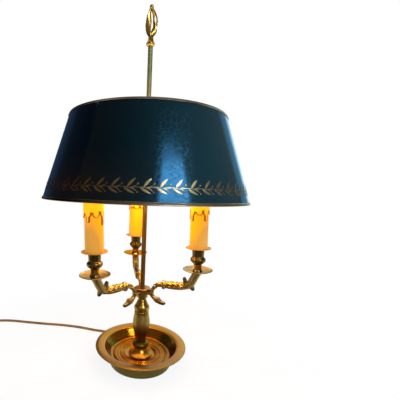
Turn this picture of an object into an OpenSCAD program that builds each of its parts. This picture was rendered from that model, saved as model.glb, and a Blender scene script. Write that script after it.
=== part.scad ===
// Bouillotte lamp: a dished base, a turned column, three candle arms and a
// metal shade that slides and turns on a centre rod.
// Millimetres, +Z up, origin on the lamp's axis at the height of the table.

/* [Dish] */
// Outside radius of the upright wall of the dish
dish_base_r = 52.5; // [50:0.5:56]
// Thickness of the spun metal
dish_wall = 1.8; // [1.4:0.1:2.2]
// Height of the top of the dish's floor
dish_floor_z = 12.6; // [12.2:0.2:15]
// Radius of the throat, where the sloping wall meets the lip
dish_throat_r = 61; // [58:0.5:64]
// Height of the throat
dish_throat_z = 28.2; // [25:0.2:32]
// Outside radius of the lip
lip_r = 76.1; // [72:0.5:82]
// Rise of the lip's crown above the throat
lip_rise = 2.2; // [1.2:0.2:3]
// Radii of the raised rings on the floor
floor_ring_radii = [43.4, 33.9, 27.7];
// Height of the raised rings on the floor
floor_ring_h = 0.9; // [0.5:0.1:1.4]

/* [Base inside] */
// Thickness of the felt pad
felt_t = 1; // [0.6:0.1:2]
// Thickness of the cover plate
cover_t = 1; // [0.6:0.1:1.6]
// Radius of the well in the middle of the ballast disc
ballast_well_r = 14; // [12:0.5:20]
// Width across the flats of the lock nut
locknut_af = 15; // [13:0.5:18]
// Height of the lock nut
locknut_h = 3.5; // [2.5:0.5:4.5]
// Radius of the washer
washer_r = 10; // [8:0.5:11]
// Thickness of the washer
washer_t = 1; // [0.6:0.1:1.4]

/* [Column] */
// Outside radius of the threaded tube
tube_r = 5; // [4.4:0.1:5.2]
// Radius of the threaded tube's bore
tube_bore_r = 3.5; // [2.5:0.1:3.8]
// Radius of the foot's skirt
foot_r = 20; // [17:0.5:24]
// Height of the foot
foot_h = 21.4; // [19:0.2:26]
// Radius of the roll round the top of the foot
foot_roll_r = 4.2; // [3.6:0.1:4.6]
// Height of the baluster
baluster_h = 50.6; // [44:0.2:60]
// Largest radius of the baluster
baluster_r = 14.6; // [13:0.2:17]
// Height of the ring above the baluster
ring_h = 5.2; // [4:0.2:7]
// Radius of the ring
ring_r = 12.1; // [11:0.1:13]
// Height of the beaded band
bead_h = 8.6; // [7:0.2:11]
// Radius of the beaded band
bead_r = 13; // [12:0.1:14]
// Height of the cone under the hub
cone_h = 12.6; // [10:0.2:16]
// Radius of the cone's collar
collar_r = 6.4; // [6.2:0.1:8]
// Outside radius of the arm hub
hub_r = 9.5; // [9:0.1:11]
// Height of the arm hub
hub_h = 16; // [15:0.2:19]
// Radius of the hub's cap disc
hub_cap_r = 13.6; // [12:0.2:13.8]
// Thickness of the hub's cap disc
hub_cap_t = 2.5; // [1.5:0.1:4]

/* [Rod] */
// Radius of the centre rod
rod_r = 3.75; // [3.4:0.05:4.2]
// Length of the rod between the hub cap and the finial
rod_len = 383.3; // [370:0.1:420]
// Radius of the finial's bead
finial_bead_r = 6.8; // [6:0.1:8]
// Height of the finial
finial_h = 61; // [54:0.5:70]
// Distance of the middle of each leaf of the finial's loop from the axis
finial_loop_r = 5.2; // [5:0.1:6.5]

/* [Arms] */
// Distance of each candle from the lamp's axis
arm_reach = 90.55; // [86:0.05:96]
// Height of the horn's top above the arm's root
arm_rise = 43; // [40:0.2:48]
// Height of the tip of the leaf behind the elbow
leaf_h = 32; // [28:0.2:35]
// Direction of each arm, in degrees
arm_at_deg = [-17, 100.2, 220.2];
// Upward bend of each arm, in degrees
arm_bend_deg = [0.9, 0, -2.2];
// Radius of the arm's slender tube
arm_tube_r = 3.5; // [3.2:0.1:4]
// Radius of the arm's sheath
sheath_r = 6.4; // [5.5:0.1:7]
// Radius of the horn at its top
horn_r = 6.6; // [6:0.1:7.4]
// Radius of the nipple that holds an arm to the hub
arm_nipple_r = 2.5; // [2:0.1:2.6]

/* [Candles] */
// Radius of the drip saucer
saucer_r = 22.8; // [20:0.2:26]
// Height of the saucer's rim above the horn
saucer_h = 5; // [4:0.2:7]
// Height of the vase cup
cup_h = 36.4; // [32:0.2:42]
// Radius of the cup's bulge
cup_bulge_r = 11.6; // [10:0.1:13]
// Radius of the cup's barrel
cup_barrel_r = 9.5; // [8.5:0.1:11]
// Radius of the candle pan
pan_r = 19.7; // [17:0.1:23]
// Thickness of the pan and of the saucer
pan_t = 1.2; // [0.8:0.1:1.6]
// Outside radius of the candle sleeve
sleeve_r = 13.9; // [13.6:0.1:15]
// Wall of the candle sleeve
sleeve_wall = 1.2; // [0.8:0.1:1.4]
// Height of the candle sleeve
sleeve_h = 84; // [78:0.5:92]
// Radius of the nipple through saucer, cup and pan
candle_nipple_r = 4; // [3.4:0.1:4.4]
// Radius of a wax drip
drip_r = 1.7; // [1.4:0.1:2]
// How far the skirt of run wax comes down
skirt_h = 27; // [20:0.5:30]
// Thickness of the run wax
wax_t = 0.95; // [0.6:0.05:1.1]

/* [Lamps] */
// Radius of the lamp holder's socket
holder_r = 11.8; // [11:0.1:12.2]
// Depth of the lamp holder's socket
socket_depth = 26; // [24:0.5:30]
// Radius of the bulb's cap
bulb_cap_r = 6.9; // [6.4:0.1:7.2]
// Largest radius of the bulb
bulb_r = 17.5; // [15:0.5:19]
// Height of the bulb's glass
bulb_h = 72; // [66:0.5:76]
// Wall of the bulb's glass
glass_wall = 0.8; // [0.6:0.1:1.2]

/* [Shade] */
// Outside radius of the shade at its bottom edge
shade_bottom_r = 160; // [150:1:170]
// Outside radius of the shade at its top edge
shade_top_r = 121; // [116:0.5:126]
// Height of the shade
shade_h = 125.8; // [120:0.2:134]
// Thickness of the shade's metal
shade_t = 1; // [0.8:0.1:1.4]
// Height of the bottom rim band
bottom_rim_h = 3.6; // [3:0.1:5]
// Height of the top rim band
top_rim_h = 3; // [2.4:0.1:4]
// Thickness of the rim bands
rim_t = 0.9; // [0.6:0.1:1.3]
// Radius of the bead along each rim band
rim_bead_r = 0.5; // [0.3:0.05:0.7]
// Depth of the spider below the shade's top edge
spider_drop = 15; // [13:0.5:18]
// Width of a spider spoke
spoke_w = 9; // [7:0.5:12]
// Thickness of a spider spoke
spoke_t = 2; // [1.6:0.1:2.6]
// Outside radius of the spider's hub
spider_hub_r = 13; // [12.4:0.1:15]
// Radius of the rivets' shanks
rivet_r = 1.6; // [1.2:0.1:2]
// Direction of the first spoke, in degrees
spoke_first_deg = -120; // [-125:1:-115]
// Height of the shade's bottom edge above the table
shade_z = 275.3; // [272:0.1:290]

/* [Slide] */
// Outside radius of the slide collar
slide_r = 9; // [8.4:0.1:9.8]
// Height of the slide collar below the spider
slide_h = 24; // [22:0.5:28]
// Radius of the spigot that the spider turns on
spigot_r = 7; // [6.6:0.1:7.4]
// Radius of the ring nut
ring_nut_r = 11; // [10:0.1:12]
// Height of the ring nut
ring_nut_h = 4; // [3:0.1:5]
// Radius of the locking screw's shank
lock_screw_r = 2; // [1.6:0.1:2.4]
// Width of the key on the locking screw
lock_key_w = 16; // [13:0.5:18]
// Direction of the locking screw, in degrees
lock_deg = 50; // [40:1:60]

/* [Cord] */
// Diameter of the cord
cord_d = 5; // [5:0.1:5.2]
// Height of the cord where it leaves the dish
cord_exit_z = 6.4; // [6.4:0.05:6.6]
// Direction in which the cord leaves the dish, in degrees
cord_exit_deg = 120; // [118:1:122]
// Length of the strain relief outside the wall
relief_len = 24; // [20:0.5:25]
// Length of the in-line switch
switch_l = 60; // [58:0.5:66]
// Width of the in-line switch
switch_w = 26; // [24:0.5:30]
// Height of the switch's lower case
switch_low_h = 8; // [8:0.1:9]
// Height of the switch's upper case
switch_up_h = 9; // [8.5:0.1:10]
// Wall of the switch's cases
switch_wall = 2; // [1.6:0.1:2.2]
// Width of the rocker
rocker_w = 9.6; // [8:0.1:11]
// Half length of the rocker
rocker_r = 11.2; // [10:0.1:12]
// Tilt of the rocker at either end of its travel, in degrees
rocker_tilt = 7; // [5:0.5:8]
// Width of the plug
plug_w = 35; // [32:0.5:38]
// Height of the plug
plug_t = 13.6; // [12.6:0.1:14.6]
// Length of the plug's body
plug_l = 36; // [34:0.5:40]
// Distance between the plug's pins
pin_gap = 19; // [18.6:0.1:19.2]
// Radius of the plug's pins
pin_r = 2; // [1.9:0.05:2.4]
// Length of the pins outside the plug
pin_l = 19; // [17:0.5:20]

/* [Fits] */
// Radial clearance of pieces that slide or turn on each other
run_gap = 0.05; // [0.03:0.01:0.09]
// Clearance between fixed pieces that fit into each other
fix_gap = 0.1; // [0.08:0.01:0.2]

/* [Hidden] */
$fn = 96;
eps = 0.01;

// Colours
BRASS = [0.72, 0.52, 0.16];
OLD_BRASS = [0.42, 0.33, 0.12];
COPPERY = [0.72, 0.42, 0.2];
STEEL = [0.62, 0.62, 0.6];
WAX = [0.98, 0.68, 0.12];
PAINT = [0.03, 0.1, 0.13];
GLASS = [1, 0.93, 0.8, 0.5];
DARK = [0.12, 0.11, 0.1];
CORD_GOLD = [0.54, 0.38, 0.14];

// Heights in the base
floor_under_z = dish_floor_z - dish_wall;
cover_top_z = felt_t + cover_t;
locknut_z = floor_under_z - washer_t - locknut_h;

// Heights along the column
baluster_z = dish_floor_z + foot_h;
ring_z = baluster_z + baluster_h;
bead_z = ring_z + ring_h;
cone_z = bead_z + bead_h;
hub_z = cone_z + cone_h;
hub_floor_t = 3;
hub_bore_r = hub_r - 2.3;
hub_top_z = hub_z + hub_h;
rod_z = hub_top_z + hub_cap_t;
rod_tail_r = rod_r - 0.75;
rod_tail_l = hub_cap_t + 2.5;
finial_z = rod_z + rod_len;
finial_pin_l = 5;

// The arm's root lies in the middle of the hub's bosses
arm_root_z = hub_z + hub_h * 0.67;
arm_boss_r = 4.4;
arm_boss_out = hub_r + 1.6;
arm_bead_s = arm_boss_out + 4.8;
arm_nipple_in = hub_bore_r + 0.2;
arm_nipple_out = arm_bead_s;

// Heights above the top of an arm's horn
cup_z = pan_t;
pan_z = cup_z + cup_h;
sleeve_z = pan_z + pan_t;
sleeve_bore_r = sleeve_r - sleeve_wall;
// Wax drips of each candle: direction in degrees and length
drips = [
    [[-135, 45], [-88, 35], [-45, 45], [54, 38], [99, 32], [169, 41]],
    [[171, 34], [20, 41], [70, 36], [-40, 44], [-90, 33]],
    [[-23, 36], [25, 42.6], [73, 36.5], [120, 47], [169, 34], [219, 44]]];
nipple_sink = 4;
nipple_top_z = sleeve_z + 5;
holder_foot_h = 7;
holder_foot_r = candle_nipple_r + 2.4;
socket_z = sleeve_z + sleeve_h - 1 - socket_depth;
bulb_z = sleeve_z + sleeve_h - 1;

// Shade: radius of the outer face at a height above its bottom edge
function shade_face_r(h) = shade_bottom_r - (shade_bottom_r - shade_top_r) * h / shade_h;
shade_lean = atan((shade_bottom_r - shade_top_r) / shade_h);
spider_h = shade_h - spider_drop;
spider_z = shade_z + spider_h;
rivet_h = shade_h - 6.9;
tab_top_h = shade_h - 3.4;
spider_lift = 0.15;

// Cord: the lead's route, then the coil and the tail
cord_r = cord_d / 2;
exit_dir = [cos(cord_exit_deg), sin(cord_exit_deg)];
lead_inner_s = dish_base_r - 9;
lead_outer_s = dish_base_r + relief_len + 1;
switch_at = [-327, 54];
lead_route = [
    [-45, 76, 5], [-53, 81, 3.4], [-63, 84.5, 2.8], [-80, 88.5, 2.6], [-97, 92, 2.6],
    [-127, 100.5, 2.6], [-166, 107, 2.6], [-205, 110, 2.6], [-240, 113.5, 2.6],
    [-272, 117, 2.6], [-290, 117.5, 2.6], [-302, 116, 2.6], [-312, 113.5, 2.7],
    [-320, 108.5, 3.2], [-325, 100.5, 4.8], [-327, 92, 7.2]
];
link_route = [[-327, 20, 7.6], [-327.8, 8, 5.4], [-329.4, -2, 3.6], [-330, -12, 3.1]];
tail_route = [[-330, -12, 8.1], [-329.4, -22, 7.9], [-328, -34, 7.2], [-327.2, -46, 6.9]];
coil_at = [-293, -12];
coil_in_r = 19.5;
coil_out_r = 39.5;
coil_h = 10.2;
tie_t = 0.5;
tie_deg = 14;
tie_at_deg = 70;
plug_at = [-327, -60];
plug_neck_l = 18;

// ---- Shared shapes ----

// A solid of revolution from a list of [radius, height] points
module turned(points) {
    rotate_extrude() polygon(points);
}

// A round bar between two heights on the Z axis
module bar(r, z0, z1) {
    translate([0, 0, z0]) cylinder(r = r, h = z1 - z0);
}

// Half the sweep of a rounded edge
arc_deg = 60;

// Points of a circular arc in a plane
function arc(cx, cy, r, a0, a1, steps = 8) =
    [for (i = [0:steps]) let (a = a0 + (a1 - a0) * i / steps) [cx + r * cos(a), cy + r * sin(a)]];

// One point of a smooth curve through p1 and p2
function smooth(p0, p1, p2, p3, t) =
    0.5 * (2 * p1 + (p2 - p0) * t + (2 * p0 - 5 * p1 + 4 * p2 - p3) * t * t
    + (3 * p1 - p0 - 3 * p2 + p3) * t * t * t);

// A smooth curve through all points of a list
function curve(p, steps) = let (n = len(p) - 1) concat(
    [for (i = [0:n - 1], k = [0:steps - 1])
        smooth(p[max(i - 1, 0)], p[i], p[i + 1], p[min(i + 2, n)], k / steps)],
    [p[n]]);

function unit(v) = v / norm(v);

// Direction of a path at its point i
function heading(path, i) = unit(path[min(i + 1, len(path) - 1)] - path[max(i - 1, 0)]);

// Skin of rings of equal size, closed with flat ends
module skin(rings) {
    sides = len(rings[0]);
    count = len(rings);
    polyhedron(
        points = [for (ring = rings) each ring],
        faces = concat(
            [[for (k = [0:sides - 1]) sides - 1 - k]],
            [for (i = [0:count - 2], k = [0:sides - 1]) let (m = (k + 1) % sides)
                each [[i * sides + k, (i + 1) * sides + m, (i + 1) * sides + k],
                      [i * sides + k, i * sides + m, (i + 1) * sides + m]]],
            [[for (k = [0:sides - 1]) (count - 1) * sides + k]]));
}

// A casting swept in the XZ plane: each point is [x, z, half height, half width]
module cast(points, steps, sides, end_up = false) {
    path = curve(points, steps);
    last = len(path) - 1;
    skin([for (i = [0:last])
        let (d = heading([for (q = path) [q[0], q[1]]], i),
             t = end_up && i == last ? [0, 1] : d,
             n = [-t[1], t[0]])
        [for (k = [0:sides - 1]) let (a = 360 * k / sides)
            [path[i][0] + n[0] * path[i][2] * cos(a),
             path[i][3] * sin(a),
             path[i][1] + n[1] * path[i][2] * cos(a)]]]);
}

// A round tube swept along a route in space
module tube(route, r, sides, steps) {
    path = curve(route, steps);
    skin([for (i = [0:len(path) - 1])
        let (t = heading(path, i),
             u = unit(cross([0, 0, 1], t)),
             v = cross(t, u))
        [for (k = [0:sides - 1]) let (a = -360 * k / sides)
            path[i] + r * (u * cos(a) + v * sin(a))]]);
}

// Places its children on the arm i, in the frame of the arm's radial plane
module around(i) {
    rotate(arm_at_deg[i]) children();
}

// As around(), and bent up with the arm about its root bead
module on_arm(i) {
    around(i) translate([arm_bead_s, 0, arm_root_z]) rotate([0, -arm_bend_deg[i], 0])
        translate([-arm_bead_s, 0, 0]) children();
}

// Places its children on the top of the horn of arm i
module on_horn(i) {
    on_arm(i) translate([arm_reach, 0, arm_rise]) children();
}

// Places its children at the cord's exit, with +X along the way out
module at_exit() {
    rotate(cord_exit_deg) translate([0, 0, cord_exit_z]) children();
}

// A bar of radius r along +X between two distances from the axis
module spoke_bar(r, s0, s1) {
    translate([s0, 0, 0]) rotate([0, 90, 0]) cylinder(r = r, h = s1 - s0);
}

// A rectangle with round corners, centred
module round_rect(l, w, r) {
    square([l - 2 * r, w], center = true);
    square([l, w - 2 * r], center = true);
    for (x = [-1, 1], y = [-1, 1])
        translate([x * (l / 2 - r), y * (w / 2 - r)]) circle(r);
}

// ---- Base ----

module felt_pad() {
    color("darkolivegreen") difference() {
        bar(dish_base_r - 0.3, 0, felt_t);
        bar(ballast_well_r / 2, -1, felt_t + 1);
    }
}

module base_cover() {
    color(STEEL) difference() {
        bar(dish_base_r - dish_wall - fix_gap, felt_t, cover_top_z);
        bar(ballast_well_r / 2, 0, cover_top_z + 1);
    }
}

module ballast_disc() {
    channel_w = 2 * bushing_flange_r + 1.2;
    color(DARK) difference() {
        bar(dish_base_r - dish_wall - 1, cover_top_z, floor_under_z);
        bar(ballast_well_r, 0, dish_floor_z);
        rotate(cord_exit_deg) translate([0, -channel_w / 2, 0])
            cube([dish_base_r, channel_w, dish_floor_z]);
    }
}

module base_locknut() {
    color(BRASS) difference() {
        translate([0, 0, locknut_z])
            cylinder(r = locknut_af / 2 / cos(30), h = locknut_h, $fn = 6);
        bar(tube_r + run_gap, 0, dish_floor_z);
    }
}

module base_washer() {
    color(STEEL) difference() {
        bar(washer_r, floor_under_z - washer_t, floor_under_z);
        bar(tube_r + fix_gap, 0, dish_floor_z);
    }
}

// The dish's section: a straight wall, a sloping wall and a lip that turns down
module dish() {
    inner_r = dish_base_r - dish_wall;
    crown_r = (dish_throat_r + lip_r) / 2;
    lip_edge_z = dish_throat_z + lip_rise - 1.8;
    color(BRASS) difference() {
        union() {
            turned([
                [0, floor_under_z], [inner_r, floor_under_z], [inner_r, felt_t],
                [dish_base_r, felt_t], [dish_base_r, dish_floor_z + 1],
                [dish_throat_r + dish_wall - 0.4, dish_throat_z - dish_wall - 0.4],
                [crown_r, dish_throat_z + lip_rise - dish_wall - 0.3],
                [lip_r - 2.6, lip_edge_z - 0.6], [lip_r - 1.6, lip_edge_z - 1.4],
                [lip_r - 0.4, lip_edge_z - 1.2], [lip_r, lip_edge_z - 0.2],
                [lip_r - 0.7, lip_edge_z + 0.8], [lip_r - 3.6, dish_throat_z + lip_rise - 0.3],
                [crown_r, dish_throat_z + lip_rise], [dish_throat_r + 2, dish_throat_z + lip_rise * 0.6],
                [dish_throat_r, dish_throat_z], [dish_throat_r - 1.6, dish_throat_z - 3],
                [inner_r + 0.9, dish_floor_z + 1.2], [inner_r - 0.8, dish_floor_z], [0, dish_floor_z]]);
            for (r = floor_ring_radii)
                turned([[r - 1.3, dish_floor_z - 0.5], [r + 1.3, dish_floor_z - 0.5],
                        [r + 0.9, dish_floor_z + floor_ring_h * 0.7], [r, dish_floor_z + floor_ring_h],
                        [r - 0.9, dish_floor_z + floor_ring_h * 0.7]]);
        }
        bar(tube_r + fix_gap, 0, dish_floor_z + 1);
        at_exit() spoke_bar(bushing_neck_r + fix_gap, dish_base_r - 6, dish_base_r + 4);
    }
}

module threaded_tube() {
    color(STEEL) difference() {
        bar(tube_r, locknut_z - 1, hub_z + hub_floor_t + 2);
        bar(tube_bore_r, 0, hub_top_z);
    }
}

bushing_neck_r = cord_r + 0.9;
bushing_flange_r = cord_r + 1.8;

// Grommet in the dish's wall with a tapered strain relief
module cord_bushing() {
    inside_s = dish_base_r - dish_wall - 0.3;
    tip_s = dish_base_r + relief_len;
    color(DARK) difference() {
        union() {
            at_exit() spoke_bar(bushing_flange_r, inside_s - 1.6, inside_s);
            at_exit() spoke_bar(bushing_neck_r, inside_s - 1, dish_base_r + 1);
            at_exit() spoke_bar(bushing_flange_r, dish_base_r + eps, dish_base_r + 3);
            at_exit() translate([dish_base_r + 2, 0, 0]) rotate([0, 90, 0])
                cylinder(r1 = bushing_neck_r + 0.5, r2 = cord_r + 0.7, h = relief_len - 2);
        }
        at_exit() spoke_bar(cord_r + fix_gap, inside_s - 4, tip_s + 1);
    }
}

// ---- Column ----

// A turned piece with a bore for the threaded tube
module column_piece(points) {
    difference() {
        turned(points);
        bar(tube_r + fix_gap, 0, hub_top_z);
    }
}

module column_foot() {
    z = dish_floor_z;
    neck_r = foot_r * 0.475;
    color(OLD_BRASS) column_piece(concat(
        [[0, z], [foot_r, z], [foot_r, z + 1.2]],
        [[foot_r * 0.82, z + 3], [foot_r * 0.66, z + 5.6], [foot_r * 0.56, z + 8.2]],
        [[neck_r, z + 10.6], [neck_r, z + 11.4]],
        arc(neck_r, z + foot_h - foot_roll_r * 1.24, foot_roll_r, -arc_deg, arc_deg, 6),
        [[neck_r, z + foot_h - 0.6], [neck_r - 0.6, z + foot_h], [0, z + foot_h]]));
}

module column_baluster() {
    z = baluster_z;
    h = baluster_h;
    r = baluster_r;
    color(OLD_BRASS) column_piece([
        [0, z], [r * 0.6, z], [r * 0.585, z + h * 0.04], [r * 0.64, z + h * 0.12],
        [r * 0.76, z + h * 0.26], [r * 0.88, z + h * 0.4], [r * 0.97, z + h * 0.54],
        [r, z + h * 0.62], [r * 0.985, z + h * 0.72], [r * 0.93, z + h * 0.84],
        [r * 0.86, z + h * 0.94], [r * 0.83, z + h], [0, z + h]]);
}

module column_ring() {
    z = ring_z;
    h = ring_h;
    color(OLD_BRASS) column_piece([
        [0, z], [ring_r * 0.86, z], [ring_r * 0.9, z + h * 0.1],
        [ring_r, z + h * 0.2], [ring_r, z + h * 0.56], [ring_r * 0.92, z + h * 0.68],
        [ring_r * 0.9, z + h], [0, z + h]]);
}

module column_bead() {
    z = bead_z;
    h = bead_h;
    color(OLD_BRASS) column_piece([
        [0, z], [bead_r * 0.86, z], [bead_r * 0.95, z + h * 0.12], [bead_r, z + h * 0.32],
        [bead_r, z + h * 0.62], [bead_r * 0.96, z + h * 0.86], [bead_r * 0.9, z + h], [0, z + h]]);
}

module column_cone() {
    z = cone_z;
    h = cone_h;
    color(OLD_BRASS) column_piece([
        [0, z], [bead_r * 0.9, z], [bead_r * 0.82, z + h * 0.14], [collar_r + 2.4, z + h * 0.45],
        [collar_r + 0.6, z + h * 0.76], [collar_r, z + h * 0.86], [collar_r + 0.5, z + h * 0.93],
        [collar_r + 0.5, z + h], [0, z + h]]);
}

// Hollow hub with a flat boss for each arm
module arm_hub() {
    color(OLD_BRASS) difference() {
        union() {
            turned([[0, hub_z], [hub_r - 1.6, hub_z], [hub_r, hub_z + 2], [hub_r, hub_top_z],
                    [0, hub_top_z]]);
            for (i = [0:2]) around(i) translate([0, 0, arm_root_z])
                spoke_bar(arm_boss_r, 1, arm_boss_out);
        }
        bar(hub_bore_r, hub_z + hub_floor_t, hub_top_z + 1);
        bar(tube_r + fix_gap, 0, hub_top_z);
        for (i = [0:2]) around(i) translate([0, 0, arm_root_z])
            spoke_bar(arm_nipple_r + fix_gap, 1, arm_boss_out + 1);
    }
}

module hub_cap() {
    edge_r = hub_cap_t * 0.3;
    color(COPPERY) difference() {
        union() {
            turned(concat([[0, hub_top_z], [hub_cap_r - edge_r, hub_top_z]],
                arc(hub_cap_r - edge_r, hub_top_z + edge_r, edge_r, -arc_deg, arc_deg, 4),
                [[hub_cap_r - edge_r * 2, rod_z], [0, rod_z]]));
            bar(hub_bore_r - fix_gap, rod_z - rod_tail_l, hub_top_z + eps);
        }
        bar(rod_tail_r + fix_gap, hub_z, rod_z + 1);
    }
}

// ---- Rod and finial ----

module rod() {
    color(BRASS) union() {
        bar(rod_tail_r, rod_z - rod_tail_l, rod_z);
        bar(rod_r, rod_z, finial_z);
        bar(rod_tail_r, finial_z, finial_z + finial_pin_l);
    }
}

// A bead and a neck that opens into a closed loop of two leaves
module finial() {
    z = finial_z;
    b = finial_bead_r;
    w = finial_loop_r;
    h = finial_h;
    leaf = [[0, 12.5, 2.6], [0.5 * w, 16, 3], [0.9 * w, 21, 3.4], [w, h * 0.42, 3.6],
            [w, h * 0.56, 3.6], [0.85 * w, h * 0.7, 3.2], [0.5 * w, h * 0.83, 2.8], [0, h * 0.91, 2.8]];
    color(BRASS) union() {
        difference() {
            turned([[0, z], [b * 0.62, z], [b * 0.88, z + 1.2], [b, z + 3.2], [b * 0.88, z + 5],
                    [b * 0.66, z + 7], [b * 0.55, z + 10], [b * 0.5, z + 13.6], [0, z + 13.6]], $fn = 48);
            bar(rod_tail_r + fix_gap, z - 1, z + finial_pin_l + 0.5);
        }
        translate([0, 0, z]) for (side = [-1, 1])
            chain([for (q = leaf) [side * q[0], q[1], q[2]]]);
        translate([0, 0, z + h - 3.4]) sphere(3.4, $fn = 20);
    }
}

// ---- Arms ----

module arm_nipples() {
    color(BRASS) for (i = [0:2]) around(i) translate([0, 0, arm_root_z]) difference() {
        spoke_bar(arm_nipple_r, arm_nipple_in, arm_nipple_out);
        spoke_bar(arm_nipple_r - 1, arm_nipple_in - 1, arm_nipple_out + 1);
    }
}

// The arm runs from the beast's head under the root, round the root bead, through
// the sheath and up the horn. Distances are shares of the span from bead to candle.
module arm_casting() {
    span = arm_reach - arm_bead_s;
    s0 = arm_bead_s;
    head_r = arm_tube_r * 1.25;
    body = [
        [s0 + 24, -15.6, 1.2, 1.5], [s0 + 20.5, -14.6, 2.6, 3], [s0 + 15.5, -13, head_r, head_r + 0.2],
        [s0 + 10.5, -11.2, head_r, head_r], [s0 + 5.5, -8.6, arm_tube_r, arm_tube_r],
        [s0 + 1.4, -4.6, arm_tube_r, arm_tube_r], [s0, 0, arm_tube_r + 0.6, arm_tube_r + 0.6],
        [s0 + 2.2, 6, arm_tube_r - 0.2, arm_tube_r], [s0 + 6, 11.2, arm_tube_r, arm_tube_r],
        [s0 + 11, 14.8, arm_tube_r + 0.3, arm_tube_r + 0.3], [s0 + 17.5, 15.8, arm_tube_r + 1, arm_tube_r + 1],
        [s0 + 20, 16, sheath_r + 1, sheath_r + 1], [s0 + 22, 16.2, sheath_r + 1, sheath_r + 1],
        [s0 + 24, 16.4, sheath_r - 0.3, sheath_r - 0.3], [s0 + span * 0.51, 16.8, sheath_r, sheath_r],
        [s0 + span * 0.67, 16.8, sheath_r - 0.6, sheath_r - 0.6],
        [s0 + span * 0.78, arm_rise * 0.42, horn_r - 1.3, horn_r - 1.3],
        [s0 + span * 0.86, arm_rise * 0.54, horn_r - 0.8, horn_r - 0.8],
        [s0 + span * 0.92, arm_rise * 0.72, horn_r - 0.5, horn_r - 0.5],
        [s0 + span * 0.965, arm_rise * 0.88, horn_r - 0.2, horn_r - 0.2], [arm_reach, arm_rise, horn_r, horn_r]];
    leaf_s = s0 + span * 0.71;
    cast(body, 2, 16, end_up = true);
    // upright leaf behind the elbow, curling towards the hub
    chain([[leaf_s, leaf_h * 0.6, 3], [leaf_s + 1.6, leaf_h * 0.765, 2.7], [leaf_s + 1, leaf_h * 0.9, 2.4],
        [leaf_s - 0.8, leaf_h * 0.97, 1.7]]);
    // spur under the elbow
    chain([[s0 + span * 0.85, 20, 3.6], [s0 + span * 0.885, 16.4, 2.7], [s0 + span * 0.91, 13, 1.4]]);
    // brow and jaw of the beast's head
    chain([[s0 + 9, -8.6, 2.2], [s0 + 14, -9.2, 2.4], [s0 + 18, -11.8, 1.6]]);
    // scalloped lip at the sheath's inner end
    for (a = [-60, 0, 60]) hull() {
        translate([s0 + 20.5, 0, 16]) rotate([a, 0, 0]) translate([0, 0, sheath_r]) knob(1.7);
        translate([s0 + 26, 0, 16.4]) rotate([a, 0, 0]) translate([0, 0, sheath_r - 1]) knob(1);
    }
}

// A small ball with few faces
module knob(r) {
    sphere(r, $fn = 10);
}

// Balls along the arm's plane, blended into each other: each is [x, z, radius]
module chain(balls) {
    for (i = [0:len(balls) - 2]) hull() {
        translate([balls[i][0], 0, balls[i][1]]) knob(balls[i][2]);
        translate([balls[i + 1][0], 0, balls[i + 1][1]]) knob(balls[i + 1][2]);
    }
}

module arm(i) {
    color(BRASS) difference() {
        union() {
            around(i) translate([0, 0, arm_root_z])
                spoke_bar(arm_boss_r, arm_boss_out, arm_bead_s + 0.6, $fn = 32);
            on_arm(i) arm_casting();
        }
        around(i) translate([0, 0, arm_root_z])
            spoke_bar(arm_nipple_r + fix_gap, arm_boss_out - 1, arm_nipple_out + 0.2, $fn = 32);
        on_horn(i) bar(candle_nipple_r + fix_gap, -nipple_sink - 0.2, 1, $fn = 32);
    }
}

// ---- Candles ----

module candle_nipples() {
    color(STEEL) for (i = [0:2]) on_horn(i) difference() {
        bar(candle_nipple_r, -nipple_sink, nipple_top_z);
        bar(candle_nipple_r - 1.2, -nipple_sink - 1, nipple_top_z + 1);
    }
}

module saucer(i) {
    color(COPPERY) on_horn(i) difference() {
        turned([
            [0, 0], [horn_r, 0], [saucer_r * 0.6, saucer_h * 0.14], [saucer_r * 0.88, saucer_h * 0.5],
            [saucer_r, saucer_h - 0.9], [saucer_r, saucer_h - 0.2], [saucer_r - 0.8, saucer_h],
            [saucer_r * 0.85, saucer_h * 0.5 + pan_t], [saucer_r * 0.58, saucer_h * 0.16 + pan_t],
            [horn_r + 1, pan_t], [0, pan_t]]);
        bar(candle_nipple_r + fix_gap, -1, saucer_h);
    }
}

module cup(i) {
    z = cup_z;
    h = cup_h;
    neck_r = candle_nipple_r + 1.8;
    color(OLD_BRASS) on_horn(i) difference() {
        turned([
            [0, z], [neck_r + 1.6, z], [neck_r + 1.4, z + h * 0.05], [neck_r, z + h * 0.13],
            [neck_r, z + h * 0.24], [neck_r + 1, z + h * 0.34], [cup_bulge_r * 0.8, z + h * 0.4],
            [cup_bulge_r * 0.97, z + h * 0.47], [cup_bulge_r, z + h * 0.52],
            [cup_bulge_r * 0.96, z + h * 0.57], [cup_barrel_r, z + h * 0.63],
            [cup_barrel_r - 0.3, z + h * 0.72], [cup_barrel_r, z + h * 0.94],
            [cup_barrel_r + 0.5, z + h], [0, z + h]]);
        bar(candle_nipple_r + fix_gap, 0, pan_z + 1);
    }
}

module pan(i) {
    color(WAX) on_horn(i) difference() {
        turned([
            [0, pan_z], [pan_r * 0.8, pan_z], [pan_r - 0.5, pan_z + 0.5], [pan_r, pan_z + 1],
            [pan_r, pan_z + pan_t + 0.6], [pan_r - 0.8, pan_z + pan_t + 0.7],
            [pan_r * 0.8, pan_z + pan_t], [0, pan_z + pan_t]]);
        bar(candle_nipple_r + fix_gap, pan_z - 1, pan_z + pan_t + 1);
    }
}

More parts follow.
